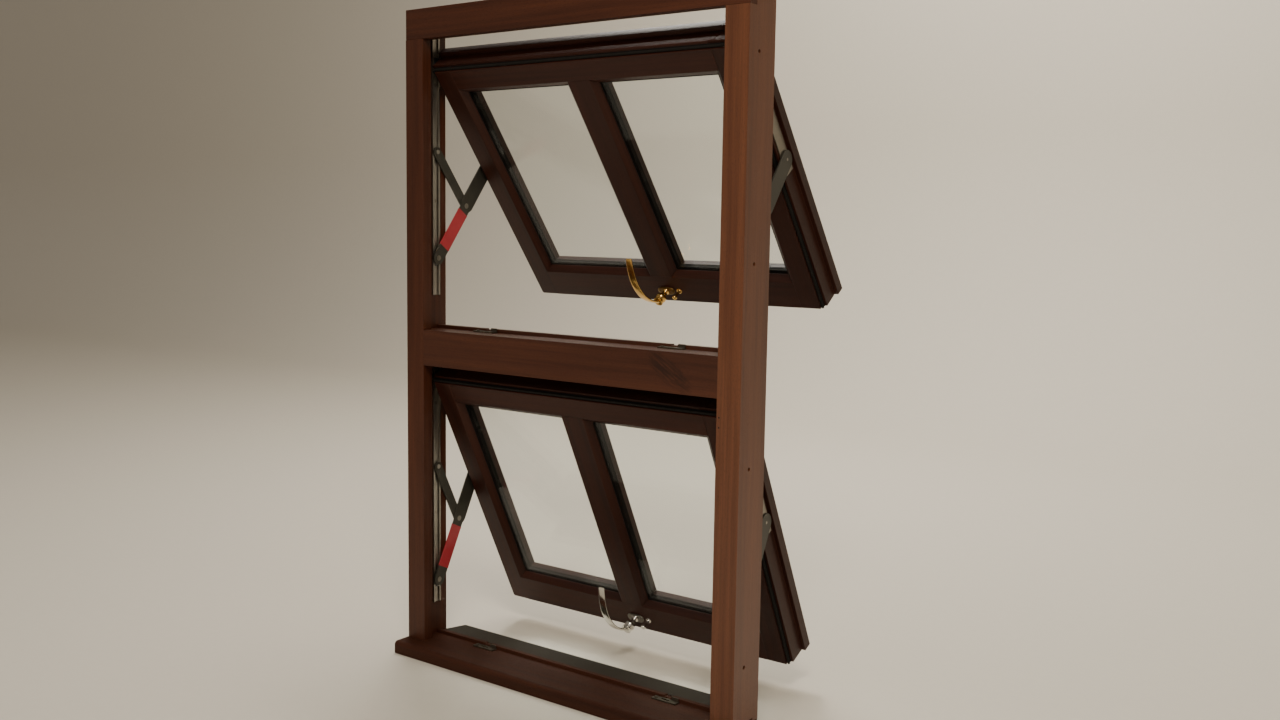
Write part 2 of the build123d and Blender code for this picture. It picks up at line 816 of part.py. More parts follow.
    # Handle: spindle and drum inside, neck and boss outside, then the curled strap
    strap_line = [(handle_v + drop, -reach) for drop, reach in zip(strap_drop, strap_reach)]
    with BuildPart() as handle:
        with BuildSketch(facing(hang, drum_start)):
            with Locations((0, -handle_v)):
                Circle(drum_radius)
        extrude(amount=drum_depth)
        with BuildSketch(facing(hang, spindle_start)):
            with Locations((0, -handle_v)):
                Circle(spindle_radius)
        extrude(amount=spindle_start + ball_reach)
        with BuildSketch(facing(hang, -neck_start)):
            with Locations((0, -handle_v)):
                Circle(neck_radius)
        extrude(amount=neck_length)
        with Locations(facing(hang, -ball_reach).location * Location((0, -handle_v, 0))):
            Sphere(ball_radius)
        with BuildSketch(facing(hang, -collar_start)):
            with Locations((0, -handle_v)):
                Circle(collar_radius)
        extrude(amount=collar_length)
        with BuildSketch(across(hang, -handle_width / 2)):
            with BuildLine():
                near = []
                far = []
                for place_on, (v, n) in enumerate(strap_line):
                    before = strap_line[max(place_on - 1, 0)]
                    after = strap_line[min(place_on + 1, len(strap_line) - 1)]
                    run = ((after[0] - before[0]) ** 2 + (after[1] - before[1]) ** 2) ** 0.5
                    off_v = -(after[1] - before[1]) / run * strap_thickness / 2
                    off_n = (after[0] - before[0]) / run * strap_thickness / 2
                    near.append(nv(n + off_n, v + off_v))
                    far.append(nv(n - off_n, v - off_v))
                Spline(*near)
                Line(near[-1], far[-1])
                Spline(*far[::-1])
                Line(far[0], near[0])
            make_face()
        extrude(amount=handle_width)
    handle.part.label = light + "_handle"
    export_step(handle.part, "parts/" + light + "_handle.step")
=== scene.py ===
# %% [markdown]
# # A timber window with two projecting sashes
# The window is two lights, one above the other, in a dark hardwood frame. Each sash
# slides down at its top and swings out at its foot on a pair of stays. It could all be
# drawn anew, but its solids already fit and move, so everything here is dressed onto
# them. This first cell loads that frame of solids.

# %% Load the frame
import bpy
import bmesh
import json
import math
import numpy as np
from mathutils import Matrix, Vector

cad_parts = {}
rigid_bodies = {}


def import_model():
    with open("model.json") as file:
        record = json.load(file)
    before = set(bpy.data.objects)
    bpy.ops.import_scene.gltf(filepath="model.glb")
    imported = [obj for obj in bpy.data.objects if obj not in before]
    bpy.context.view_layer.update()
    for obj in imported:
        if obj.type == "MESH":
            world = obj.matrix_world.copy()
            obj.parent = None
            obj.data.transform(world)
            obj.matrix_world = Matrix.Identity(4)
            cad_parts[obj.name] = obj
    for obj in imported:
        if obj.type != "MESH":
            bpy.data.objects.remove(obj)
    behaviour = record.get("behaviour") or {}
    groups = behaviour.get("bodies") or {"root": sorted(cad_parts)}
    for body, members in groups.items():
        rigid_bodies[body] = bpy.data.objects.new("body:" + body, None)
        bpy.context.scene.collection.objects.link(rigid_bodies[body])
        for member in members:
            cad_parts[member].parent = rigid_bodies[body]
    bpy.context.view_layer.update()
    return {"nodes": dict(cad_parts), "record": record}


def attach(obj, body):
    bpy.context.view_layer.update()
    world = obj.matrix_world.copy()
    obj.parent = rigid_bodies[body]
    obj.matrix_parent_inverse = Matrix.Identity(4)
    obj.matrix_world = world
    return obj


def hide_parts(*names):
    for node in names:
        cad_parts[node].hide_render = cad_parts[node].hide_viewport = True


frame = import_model()
nodes = frame["nodes"]

# %% [markdown]
# ## How each sash stands on its stays
# A wide arm runs from a shoe in the track up to the side of the sash. A short link holds
# the middle of the arm from a fixed pivot, and is as long as the arm below it. The
# heights of the top of the sash and of the foot of the arm could be typed in, but worked
# out from the angle they always fit.

# %% Lengths of the stay and heights of the pivots, in millimetres
LINK = 150.0  # the short link, and the arm from its foot to the link
ARM = 270.0  # the whole arm, and the sash from its top pivot to the arm
TRACK_Y = 12.5  # middle of the tracks, outward from the middle of the frame
SIDES = {"left": -1.0, "right": 1.0}
LIGHTS = {
    "upper": {"pivot_z": 1158.0, "floor_z": 756.0, "angle": math.radians(36.68)},
    "lower": {"pivot_z": 431.0, "floor_z": 29.0, "angle": math.radians(25.9)},
}
for light in LIGHTS.values():
    light["top_z"] = light["pivot_z"] + 2 * (ARM - LINK) * math.cos(light["angle"])
    light["foot_z"] = light["pivot_z"] - 2 * LINK * math.cos(light["angle"])
print("sash tops at", [round(light["top_z"]) for light in LIGHTS.values()], "mm")

# %% [markdown]
# ## The two sashes as places
# A sash has its own directions: across, outward from its room face (n) and down from its
# top edge (v). A point in sash measures becomes a point in the room by one turn about the
# pivot line and one shift. An empty could hold the pieces at that angle, but a finished
# piece sits at the origin with its place in its mesh. So every shape that belongs to a
# sash is worked out in millimetres on the sash, and this one function carries its points
# over.

# %% From the sash to the room and back
PIVOT_N = 32.0  # the pivot line, outward from the room face of the sash
MM = 1000.0  # millimetres in a metre


def on_sash(name, x, n, v):
    """Room points in metres of sash measures in millimetres: the outward and downward
    parts are turned by the sash angle about X, then shifted to the pivot line."""
    a, top = LIGHTS[name]["angle"], LIGHTS[name]["top_z"]
    x, n, v = np.broadcast_arrays(np.asarray(x, float), np.asarray(n, float), np.asarray(v, float))
    y = TRACK_Y + v * math.sin(a) + (n - PIVOT_N) * math.cos(a)
    z = top - v * math.cos(a) + (n - PIVOT_N) * math.sin(a)
    return np.stack([x, y, z], axis=-1) / MM


def to_sash(name, points):
    """The way back: across, outward and downward millimetres of room points in metres."""
    a, top = LIGHTS[name]["angle"], LIGHTS[name]["top_z"]
    x, y, z = (np.asarray(points, float) * MM).T
    n = PIVOT_N + (y - TRACK_Y) * math.cos(a) + (z - top) * math.sin(a)
    v = (y - TRACK_Y) * math.sin(a) - (z - top) * math.cos(a)
    return x, n, v


print("pivot line of the upper sash in metres:", on_sash("upper", 0, PIVOT_N, 0).round(3))

# %% [markdown]
# ## Shading and the outside of a piece
# A real edge is either round or crisp, so a piece is shaded smooth, and an edge that turns
# by more than a given angle stays sharp. Its faces must point outward as well. Edit mode
# has commands for both, but two functions do it alike for every piece.

# %% Smooth shading and outward faces
DOUBLED = 1e-6  # points of a new piece nearer than this, in metres, become one


def shade(piece, degrees):
    """Smooth shading that keeps an edge sharp where it turns by more than the given angle."""
    piece.data.shade_smooth()
    piece.data.set_sharp_from_angle(angle=math.radians(degrees))


def outward(piece):
    """Merges doubled points and turns all faces of closed shells to the outside."""
    work = bmesh.new()
    work.from_mesh(piece.data)
    bmesh.ops.remove_doubles(work, verts=work.verts, dist=DOUBLED)
    bmesh.ops.recalc_face_normals(work, faces=work.faces)
    work.to_mesh(piece.data)
    work.free()


print("points merged within", DOUBLED * MM, "mm")

# %% [markdown]
# ## From arrays to meshes
# Every new piece is a grid of points: rows run along the piece and columns run round it.
# Modelling by hand would do as well, but a grid is a formula that can be read and
# changed. One function gives the faces of such a tube, and the other makes the mesh.


def tube_faces(rows, cols, loop):
    """The quad at (i, j) has the corners (i, j), (i, j + 1), (i + 1, j + 1) and (i + 1, j),
    counted round. The first and the last ring get one face each, or in a loop are joined."""
    index = np.arange(rows * cols).reshape(rows, cols)
    r, c = np.meshgrid(np.arange(rows if loop else rows - 1), np.arange(cols), indexing="ij")
    next_r, next_c = (r + 1) % rows, (c + 1) % cols
    corners = [index[r, c], index[r, next_c], index[next_r, next_c], index[next_r, c]]
    faces = np.stack(corners, axis=-1).reshape(-1, 4).tolist()
    return faces if loop else faces + [index[0][::-1].tolist(), index[-1].tolist()]


def grid_piece(name, body, grid, material, smooth=35, stands_for=(), loop=False):
    """A closed tube whose vertex (i, j) is grid[i, j], with its material, its body and the
    solids that it replaces."""
    grid = np.asarray(grid, float)
    mesh = bpy.data.meshes.new(name)
    mesh.from_pydata(grid.reshape(-1, 3).tolist(), [], tube_faces(*grid.shape[:2], loop))
    piece = bpy.data.objects.new(name, mesh)
    bpy.context.scene.collection.objects.link(piece)
    outward(piece)
    shade(piece, smooth)
    mesh.materials.append(material)
    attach(piece, body)
    for node in stands_for:
        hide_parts(node)
    return piece


print("two rings of four points make a box of", len(tube_faces(2, 4, False)), "faces")

# %% [markdown]
# ## Small tools for node trees
# Materials below are made of many small nodes. A few helpers keep that readable. The first
# three add a node, build a reusable group with named sockets, and fill or join a socket.

# %% Nodes, groups and sockets


def add_node(tree, kind, **values):
    """One node of the given kind, with attributes and input values set by name."""
    node = tree.nodes.new(kind)
    for key, value in values.items():
        if hasattr(node, key):
            setattr(node, key, value)
        else:
            node.inputs[key.replace("_", " ").title()].default_value = value
    return node


def new_group(name, inputs, outputs):
    """A shader node group with named sockets: each input is (name, kind, value), and each
    output is the name of a number."""
    tree = bpy.data.node_groups.new(name, "ShaderNodeTree")
    for label, kind, value in inputs:
        kind = "NodeSocket" + kind
        socket = tree.interface.new_socket(name=label, in_out="INPUT", socket_type=kind)
        if value is not None:
            socket.default_value = value
    for label in outputs:
        tree.interface.new_socket(name=label, in_out="OUTPUT", socket_type="NodeSocketFloat")
    return tree, tree.nodes.new("NodeGroupInput"), tree.nodes.new("NodeGroupOutput")


def plug(tree, value, socket):
    """Sets a socket to a plain number or colour, or joins another socket to it."""
    if isinstance(value, (int, float)):
        socket.default_value = value
    elif isinstance(value, tuple):
        socket.default_value = value + (1,) if len(socket.default_value) == 4 else value
    else:
        tree.links.new(value, socket)


print("tree helpers:", [helper.__name__ for helper in (add_node, new_group, plug)])

# %% [markdown]
# ## Sums and noise
# Each of these adds one step to a tree and hands back its output, so that a pattern reads
# like a formula. Noise is stretched by reading it on coordinates that are multiplied by
# three numbers: a small one along the grain draws it out into lines.

# %% Helpers for sums and noise


def math_node(tree, operation, a, b, clamp=False):
    """A Math node whose inputs are sockets or plain numbers."""
    node = tree.nodes.new("ShaderNodeMath")
    node.operation = operation
    node.use_clamp = clamp
    plug(tree, a, node.inputs[0])
    plug(tree, b, node.inputs[1])
    return node.outputs[0]


def times(tree, a, b, clamp=False):
    """The product of two values."""
    return math_node(tree, "MULTIPLY", a, b, clamp)


def vector_node(tree, operation, a, b):
    """A Vector Math node whose inputs are sockets or plain triples."""
    node = tree.nodes.new("ShaderNodeVectorMath")
    node.operation = operation
    plug(tree, a, node.inputs[0])
    plug(tree, b, node.inputs[1])
    return node.outputs["Value" if operation == "LENGTH" else "Vector"]


def stretched_noise(tree, vector, scale, detail=3.0, rough=0.55):
    """Noise read on coordinates multiplied by scale, three numbers, one for each axis."""
    noise = add_node(tree, "ShaderNodeTexNoise", scale=1.0, detail=detail, roughness=rough)
    tree.links.new(vector_node(tree, "MULTIPLY", vector, scale), noise.inputs["Vector"])
    return noise.outputs["Fac"]


PATTERN_HELPERS = (math_node, times, vector_node, stretched_noise)
print("pattern helpers:", [helper.__name__ for helper in PATTERN_HELPERS])

# %% [markdown]
# ## Colours from numbers
# A ramp turns a number into a grey or a colour by a few stops, and a mix lays one colour
# over another. Both could be set in the node editor, but as functions each step of a
# finish is one line.

# %% Helpers for colours


def ramp(tree, value, stops):
    """A colour ramp: stops are (position, grey level) or (position, colour)."""
    node = tree.nodes.new("ShaderNodeValToRGB")
    while len(node.color_ramp.elements) < len(stops):
        node.color_ramp.elements.new(0.5)
    for element, (place, colour) in zip(node.color_ramp.elements, stops):
        grey = isinstance(colour, (int, float))
        element.position = place
        element.color = ((colour,) * 3 if grey else tuple(colour)) + (1,)
    tree.links.new(value, node.inputs[0])
    return node.outputs[0]


def mix_colour(tree, factor, a, b, blend="MIX"):
    """Blends two colours, each a socket or a plain colour, by a factor."""
    node = tree.nodes.new("ShaderNodeMix")
    node.data_type = "RGBA"
    node.blend_type = blend
    for place, value in ((0, factor), (6, a), (7, b)):
        plug(tree, value, node.inputs[place])
    return node.outputs[2]


def darker(colour, share):
    """The colour with each of its parts brought down to a share."""
    return tuple(part * share for part in colour)


print("a quarter of white:", darker((1, 1, 1), 0.25))

# %% [markdown]
# ## What every finish starts from
# Each material needs the same start: its shader and its own object coordinates, which stay
# with the piece when it moves. Most also take a shared group of patterns and a shallow
# bump.

# %% The start of a material


def new_material(name, slot):
    """A material with its tree, its Principled shader and Object coordinates; the slot is not used.
    """
    material = bpy.data.materials.new(name)
    material.use_nodes = True
    tree = material.node_tree
    coords = tree.nodes.new("ShaderNodeTexCoord").outputs["Object"]
    return material, tree, tree.nodes["Principled BSDF"], coords


def use_group(tree, group, vector):
    """A shared group placed in a material and read on the given coordinates."""
    node = tree.nodes.new("ShaderNodeGroup")
    node.node_tree = group
    tree.links.new(vector, node.inputs["Vector"])
    return node


def bump(tree, height, strength, distance, shader):
    """A bump from a height, joined to the Normal of the shader."""
    node = add_node(tree, "ShaderNodeBump", strength=strength, distance=distance)
    tree.links.new(height, node.inputs["Height"])
    tree.links.new(node.outputs[0], shader.inputs["Normal"])


print("material helpers:", [helper.__name__ for helper in (new_material, use_group, bump)])

# %% [markdown]
# ## Hardwood grain
# The joinery is a dark stained tropical hardwood with interlocked grain. From a few steps
# away one sees soft ribbons about a centimetre wide that run with the length, and slow
# changes of tone from board to board. Close up there are fine fibre lines and short open
# pores. A picture of wood would show its seams at the edges, while noise stretched along
# the grain gives all of these and runs on round them. The Swirl input pushes the lines
# aside where a knot lay, which gives the curl at one end of the middle beam.

# %% The grain group
WANDER = 0.02  # how far the lines stray sideways, in metres
grain_tree, g_in, g_out = new_group(
    "hardwood_grain",
    [("Vector", "Vector", None), ("Swirl", "Float", 0.0)],
    ["Board", "Ribbon", "Fibre", "Pores", "Height"],
)
stray = stretched_noise(grain_tree, g_in.outputs["Vector"], (5.0, 5.0, 1.6), 2.0)
push = math_node(grain_tree, "ADD", times(grain_tree, stray, WANDER), g_in.outputs["Swirl"])
bend = add_node(grain_tree, "ShaderNodeCombineXYZ")
grain_tree.links.new(push, bend.inputs[0])
grain_tree.links.new(push, bend.inputs[1])
bent = vector_node(grain_tree, "ADD", g_in.outputs["Vector"], bend.outputs[0])
board = stretched_noise(grain_tree, bent, (13.0, 13.0, 0.9), 1.0, 0.5)
ribbon = stretched_noise(grain_tree, bent, (80.0, 80.0, 1.6), 3.0, 0.5)
fibre = stretched_noise(grain_tree, bent, (600.0, 600.0, 6.0), 2.0, 0.6)
speck = stretched_noise(grain_tree, bent, (2300.0, 2300.0, 120.0), 1.0, 0.5)
pores = ramp(grain_tree, speck, [(0.60, 0.0), (0.67, 1.0)])
height = math_node(grain_tree, "SUBTRACT", times(grain_tree, fibre, 0.5), pores)
patterns = {"Board": board, "Ribbon": ribbon, "Fibre": fibre, "Pores": pores, "Height": height}
for label, value in patterns.items():
    grain_tree.links.new(value, g_out.inputs[label])
print("grain patterns:", list(patterns))

# %% [markdown]
# ## The knot in the middle beam
# A knot bends the lines round it and leaves short dark streaks. Coordinates that are
# moved, turned and scaled to the knot give both: their length is the distance from its
# middle, and noise that is read on them runs at the slant of the knot.

# %% The knot
KNOT_PUSH = 0.06
STREAKS = (1.3, 0.5, 5.0)


def knotted(tree, coords, knot, grain, base, dark):
    """The base colour with dark streaks round a knot, which is a centre, a turn and half
    sizes in metres. The push on the grain is near squared, where near is one minus the
    scaled distance; the streaks are noise that fades with near."""
    there = add_node(tree, "ShaderNodeMapping", vector_type="TEXTURE")
    for socket, value in zip(("Location", "Rotation", "Scale"), knot):
        there.inputs[socket].default_value = value
    tree.links.new(coords, there.inputs["Vector"])
    away = vector_node(tree, "LENGTH", there.outputs[0], (0.0, 0.0, 0.0))
    near = math_node(tree, "SUBTRACT", 1.0, away, clamp=True)
    swirl = times(tree, times(tree, near, near), KNOT_PUSH)
    tree.links.new(swirl, grain.inputs["Swirl"])
    streak = stretched_noise(tree, there.outputs[0], STREAKS, 4.0)
    feather = ramp(tree, streak, [(0.4, 0.0), (0.58, 1.0)])
    shown = times(tree, times(tree, near, 2.2, clamp=True), feather)
    return mix_colour(tree, times(tree, shown, 0.85), base, dark)


print("streaks stretched by", STREAKS)

# %% [markdown]
# ## The stained, lacquered timber
# Stain gathers in the pores and lets the ribbons show, so the colour moves between a deep
# brown and a red brown. A satin lacquer lies over it and fills most of the grain. The
# grain must run with each member, so each direction of grain is a material of its own,
# all made by one function.

# %% The timber material
LACQUER_ROUGH, GRAIN_BUMP, GRAIN_DEPTH = 0.22, 0.16, 0.0004


def timber(name, turn, offset, tone_and_shade, rough=0.36, coat=0.12, specular=0.36, knot=None):
    """Stained hardwood whose grain runs along the Z of coordinates turned by three angles
    and moved by an offset. Its pair of colours is its darkest and its palest: the tone of
    the wood, with painted light and shade for some members."""
    dark, pale = tone_and_shade
    material, tree, shader, coords = new_material(name, "dark_hardwood")
    placed = tree.nodes.new("ShaderNodeMapping")
    placed.inputs["Rotation"].default_value = turn
    placed.inputs["Location"].default_value = offset
    tree.links.new(coords, placed.inputs["Vector"])
    grain = use_group(tree, grain_tree, placed.outputs[0])
    lines = grain.outputs
    middle = tuple((a + b) / 2 for a, b in zip(dark, pale))
    base = ramp(tree, lines["Ribbon"], [(0.32, dark), (0.5, middle), (0.68, pale)])
    board_tone = ramp(tree, lines["Board"], [(0.3, 0.72), (0.7, 1.2)])
    base = mix_colour(tree, 0.55, base, board_tone, "MULTIPLY")
    fibre_tone = ramp(tree, lines["Fibre"], [(0.3, 0.72), (0.7, 1.18)])
    base = mix_colour(tree, 0.5, base, fibre_tone, "MULTIPLY")
    if knot:
        base = knotted(tree, coords, knot, grain, base, darker(dark, 0.35))
    base = mix_colour(tree, times(tree, lines["Pores"], 0.5), base, darker(dark, 0.4))
    tree.links.new(base, shader.inputs["Base Color"])
    dull = math_node(tree, "ADD", times(tree, lines["Ribbon"], 0.12), rough - 0.06)
    dull = math_node(tree, "ADD", dull, times(tree, lines["Pores"], 0.15))
    tree.links.new(dull, shader.inputs["Roughness"])
    bump(tree, lines["Height"], GRAIN_BUMP, GRAIN_DEPTH, shader)
    shader.inputs["Coat Weight"].default_value = coat
    shader.inputs["Coat Roughness"].default_value = LACQUER_ROUGH
    shader.inputs["Specular IOR Level"].default_value = specular
    return material


print("grain depth:", GRAIN_DEPTH * MM, "mm under a lacquer of roughness", LACQUER_ROUGH)

# %% [markdown]
# ## One timber for each member
# The members differ in colour, partly by their stain and partly by painted light and
# shade. The right post is the palest and keeps the most gloss, the beams are darker, and
# the sashes, whose faces tip away from the lamps, darkest of all. The left post takes the
# colours of the beams and the sill darker ones still, both as painted shade. Each sash
# leans, so the grain of its stiles leans with it. An offset moves each kind of member to
# its own part of the noise.

# %% Stains and timbers
UPRIGHT = (0.0, 0.0, 0.0)
LEVEL = (0.0, math.radians(90), 0.0)
# Darkest and palest colour of each member: its stain, with painted light and shade.
POST = ((0.098, 0.0325, 0.0135), (0.148, 0.052, 0.0225))
BEAM = ((0.047, 0.0132, 0.0055), (0.076, 0.0225, 0.0095))
SASH = ((0.0225, 0.0053, 0.0024), (0.0415, 0.0103, 0.0046))
# The sill colours, darker than the beams, are painted shade under the open lower sash.
SILL_PAINTED_SHADE = ((0.034, 0.0098, 0.0042), (0.054, 0.0165, 0.0075))
KNOT = ((0.285, -0.046, 0.716), (0.0, math.radians(33), 0.0), (0.068, 0.5, 0.026))
SASH_SHEEN = {"rough": 0.45, "coat": 0.04, "specular": 0.22}
timbers = {
    "post": timber("timber_post", UPRIGHT, (0.31, 0.12, 0.0), POST),
    # The left post takes the beam colours: painted shade.
    "left_post_painted_shade": timber("timber_left_post_painted_shade", UPRIGHT, (0.11, 0.32, 0.3), BEAM, 0.45, 0.04, 0.25),
    "beam": timber("timber_beam", LEVEL, (0.07, 0.23, 0.5), BEAM, 0.5, 0.03, 0.25),
    "sill": timber("timber_sill_painted_shade", LEVEL, (0.17, 0.33, 0.1), SILL_PAINTED_SHADE, 0.6, 0.0, 0.15),
    "transom": timber("timber_transom", LEVEL, (0.41, 0.13, 0.2), BEAM, 0.4, 0.06, 0.3, KNOT),
}
for name, light in LIGHTS.items():
    leaning = (-light["angle"], 0.0, 0.0)
    runs = {"_stile": (leaning, (0.2, 0.4, 0.1)), "_rail": (LEVEL, (0.5, 0.1, 0.2))}
    for part, (turn, offset) in runs.items():
        timbers[name + part] = timber("timber_" + name + part, turn, offset, SASH, **SASH_SHEEN)
print("timbers:", sorted(timbers))

# %% [markdown]
# ## Drawn lines, smears and dust
# The other finishes are simpler: dull coated steel for the stays, plain steel and raw
# aluminium with fine drawn lines, brass and chrome for the handles, and black rubber for
# the seals. Fine lines, smears and dust come from one shared group, so that a metal is
# never one flat colour.

# %% The group for fine marks
marks_tree, m_in, m_out = new_group(
    "fine_lines",
    [("Vector", "Vector", None)],
    ["Lines", "Smears", "Dust"],
)
drawn = stretched_noise(marks_tree, m_in.outputs[0], (1800.0, 1800.0, 30.0), 2.0)
smears = stretched_noise(marks_tree, m_in.outputs[0], (38.0, 38.0, 38.0), 4.0)
grit = stretched_noise(marks_tree, m_in.outputs[0], (900.0, 900.0, 900.0), 2.0, 0.7)
dust = ramp(marks_tree, grit, [(0.58, 0.0), (0.72, 1.0)])
for label, value in (("Lines", drawn), ("Smears", smears), ("Dust", dust)):
    marks_tree.links.new(value, m_out.inputs[label])
print("marks:", [socket.name for socket in m_out.inputs if socket.name])

# %% [markdown]
# ## Metals, rubber and plastics
# Each could have nodes of its own, but one function keeps them alike. Smears take the
# colour down a little and dust greys it, while the drawn lines change the roughness and
# lift a very shallow bump.

# %% The plain finish
DUST_COLOUR = (0.3, 0.26, 0.2)
LINE_BUMP, LINE_DEPTH = 0.15, 0.0001


def finish(name, slot, colour, rough, metallic=0.0, lines=0.0, patch=0.15, dusty=0.0, coat=0.0,
           specular=0.5):
    """A plain finish with fine lines in its roughness, faint patches and a little dust."""
    material, tree, shader, coords = new_material(name, slot)
    marks = use_group(tree, marks_tree, coords).outputs
    tone = ramp(tree, marks["Smears"], [(0.3, darker(colour, 1 - patch)), (0.7, colour)])
    tone = mix_colour(tree, times(tree, marks["Dust"], dusty), tone, DUST_COLOUR)
    tree.links.new(tone, shader.inputs["Base Color"])
    drawn_part, smear_part = times(tree, marks["Lines"], lines), times(tree, marks["Smears"], 0.1)
    dull = math_node(tree, "ADD", drawn_part, smear_part)
    dull = math_node(tree, "ADD", dull, rough - 0.05 - lines / 2)
    tree.links.new(dull, shader.inputs["Roughness"])
    bump(tree, marks["Lines"], LINE_BUMP, LINE_DEPTH, shader)
    shader.inputs["Metallic"].default_value = metallic
    shader.inputs["Coat Weight"].default_value = coat
    shader.inputs["Specular IOR Level"].default_value = specular
    return material


print("drawn lines are", LINE_DEPTH * MM, "mm deep, and dust has the colour", DUST_COLOUR)

# %% [markdown]
# ## Steel, aluminium, rubber, brass and chrome
# Each finish has a slot, a colour, a roughness, a share of metal and a strength of drawn
# lines. Stays, keeps and tracks lie in the weather and are dusty. One grey would do for
# all the steel, but coated, plain and worn steel look different side by side.

# %% The finishes of this window
stay_coat = finish("stay_coating", "dark_steel", (0.062, 0.058, 0.046), 0.42, 0.45, 0.12,
                   dusty=0.12)
plate_steel = finish("plate_steel", "dull_steel", (0.34, 0.31, 0.26), 0.36, 1.0, 0.2)
keep_steel = finish("keep_steel", "dull_steel", (0.085, 0.07, 0.052), 0.5, 0.8, 0.15, dusty=0.1)
track_metal = finish("track_aluminium", "mill_aluminium", (0.46, 0.43, 0.38), 0.38, 1.0, 0.22,
                     dusty=0.1)
drip_metal = finish("drip_bronze", "bronze_metal", (0.024, 0.019, 0.0125), 0.7, 0.0, 0.06,
                    dusty=0.06, specular=0.2)
seal_rubber = finish("seal_rubber", "black_seal", (0.01, 0.009, 0.008), 0.8, 0.0, 0.05, dusty=0.03,
                     specular=0.15)
spacer_black = finish("spacer_black", "black_spacer", (0.009, 0.008, 0.007), 0.8, 0.0, 0.05,
                      specular=0.06)
sleeve_red = finish("sleeve_red", "red_sleeve", (0.42, 0.024, 0.036), 0.36, 0.0, 0.05, coat=0.2)
shoe_plastic = finish("shoe_plastic", "nylon", (0.03, 0.03, 0.03), 0.45, 0.0, 0.05)
chrome = finish("polished_chrome", "bright_chrome", (0.7, 0.68, 0.63), 0.13, 1.0, 0.03, 0.05)
# Darker colours of chrome and brass for the backplates: painted shade under the tails.
chrome_plate_painted_shade = finish("shaded_chrome", "bright_chrome", (0.2, 0.185, 0.16), 0.3, 1.0, 0.05)
brass_plate_painted_shade = finish("shaded_brass", "bright_brass", (0.2, 0.12, 0.045), 0.3, 1.0, 0.05)
brass = finish("polished_brass", "bright_brass", (0.66, 0.42, 0.13), 0.17, 1.0, 0.04, 0.1)
# The dark of the pin holes is painted shade inside them.
hole_painted_shade = finish("hollow_painted_shade", "dull_steel", (0.006, 0.005, 0.004), 0.8)

# %% [markdown]
# ## Clear sealed glass
# Each opening has two sheets of clear glass with a gap between them. Glass only shows by
# what it bends and mirrors, so plain transparency won't do. It gets a faint unevenness:
# slight smears in the roughness and a very low wave, which breaks up the mirror image as
# float glass in a unit does. Lamps shine straight through: for a shadow ray the sheet is
# a plain tinted window, so the beads behind it stay as bright as the wood in front.

# %% The glass material
WAVE_BUMP, WAVE_DEPTH = 0.05, 0.0006
glass, glass_tree, pane, pane_coords = new_material("clear_glass", "clear_glass")
pane.inputs["Base Color"].default_value = (0.975, 0.988, 0.98, 1)
pane.inputs["Transmission Weight"].default_value = 1.0
pane.inputs["IOR"].default_value = 1.28
pane.inputs["Specular Tint"].default_value = (0.4, 0.42, 0.42, 1)
pane_marks = use_group(glass_tree, marks_tree, pane_coords)
smudge = math_node(glass_tree, "SUBTRACT", pane_marks.outputs["Smears"], 0.5, clamp=True)
glass_tree.links.new(times(glass_tree, smudge, 0.05), pane.inputs["Roughness"])
wave = stretched_noise(glass_tree, pane_coords, (7.0, 7.0, 7.0), 1.0)
bump(glass_tree, wave, WAVE_BUMP, WAVE_DEPTH, pane)
ray_kind = glass_tree.nodes.new("ShaderNodeLightPath")
see_through = glass_tree.nodes.new("ShaderNodeBsdfTransparent")
see_through.inputs["Color"].default_value = (0.93, 0.95, 0.94, 1)
either = glass_tree.nodes.new("ShaderNodeMixShader")
glass_tree.links.new(ray_kind.outputs["Is Shadow Ray"], either.inputs[0])
glass_tree.links.new(pane.outputs[0], either.inputs[1])
glass_tree.links.new(see_through.outputs[0], either.inputs[2])
glass_tree.links.new(either.outputs[0], glass_tree.nodes["Material Output"].inputs["Surface"])
print("glass bends light by", round(pane.inputs["IOR"].default_value, 2))

# %% [markdown]
# ## Arrises on the members
# Machined joinery never has a knife edge: a light sanding rounds each arris by about a
# millimetre, and that is what catches the light. Pressed metal has a smaller rounding. It
# could be cut into the solids, but a live Bevel on a copy keeps it one number and the
# solids exact. Before that, the copied points are merged and flat faces joined.

# %% A rounded copy of a solid
COPIED = 2e-6  # points of a copied solid nearer than this, in metres, become one
FLAT = math.radians(0.6)  # faces that meet at less than this are joined
SHARP, ROUNDED_ABOVE = 25, 28  # degrees: kept sharp in the shading, and rounded by the Bevel
body_name = {n: b for b, members in frame["record"]["behaviour"]["bodies"].items() for n in members}


def arrised(node, material, radius=0.0012):
    """A merged copy of a solid, its flat faces joined, with rounded arrises."""
    piece = nodes[node].copy()
    piece.data = nodes[node].data.copy()
    piece.name = node + "_dressed"
    piece.parent = None
    for key in list(piece.keys()):
        del piece[key]
    bpy.context.scene.collection.objects.link(piece)
    work = bmesh.new()
    work.from_mesh(piece.data)
    bmesh.ops.remove_doubles(work, verts=work.verts, dist=COPIED)
    bmesh.ops.dissolve_limit(work, angle_limit=FLAT, verts=work.verts, edges=work.edges)
    work.to_mesh(piece.data)
    work.free()
    piece.data.materials.clear()
    piece.data.materials.append(material)
    shade(piece, SHARP)
    bevel = piece.modifiers.new("arris", "BEVEL")
    bevel.width = radius
    bevel.segments = 2
    bevel.limit_method = "ANGLE"
    bevel.angle_limit = math.radians(ROUNDED_ABOVE)
    bevel.harden_normals = True
    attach(piece, body_name[node])
    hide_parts(node)
    return piece


print("solids and their bodies:", len(body_name), "and", len(set(body_name.values())))

# %% [markdown]
# ## The timber members
# The frame has five members and each sash has five. All are dressed alike apart from
# timber and arris, so lists of names do for them. Those of the frame are heavier and get
# a slightly larger arris.

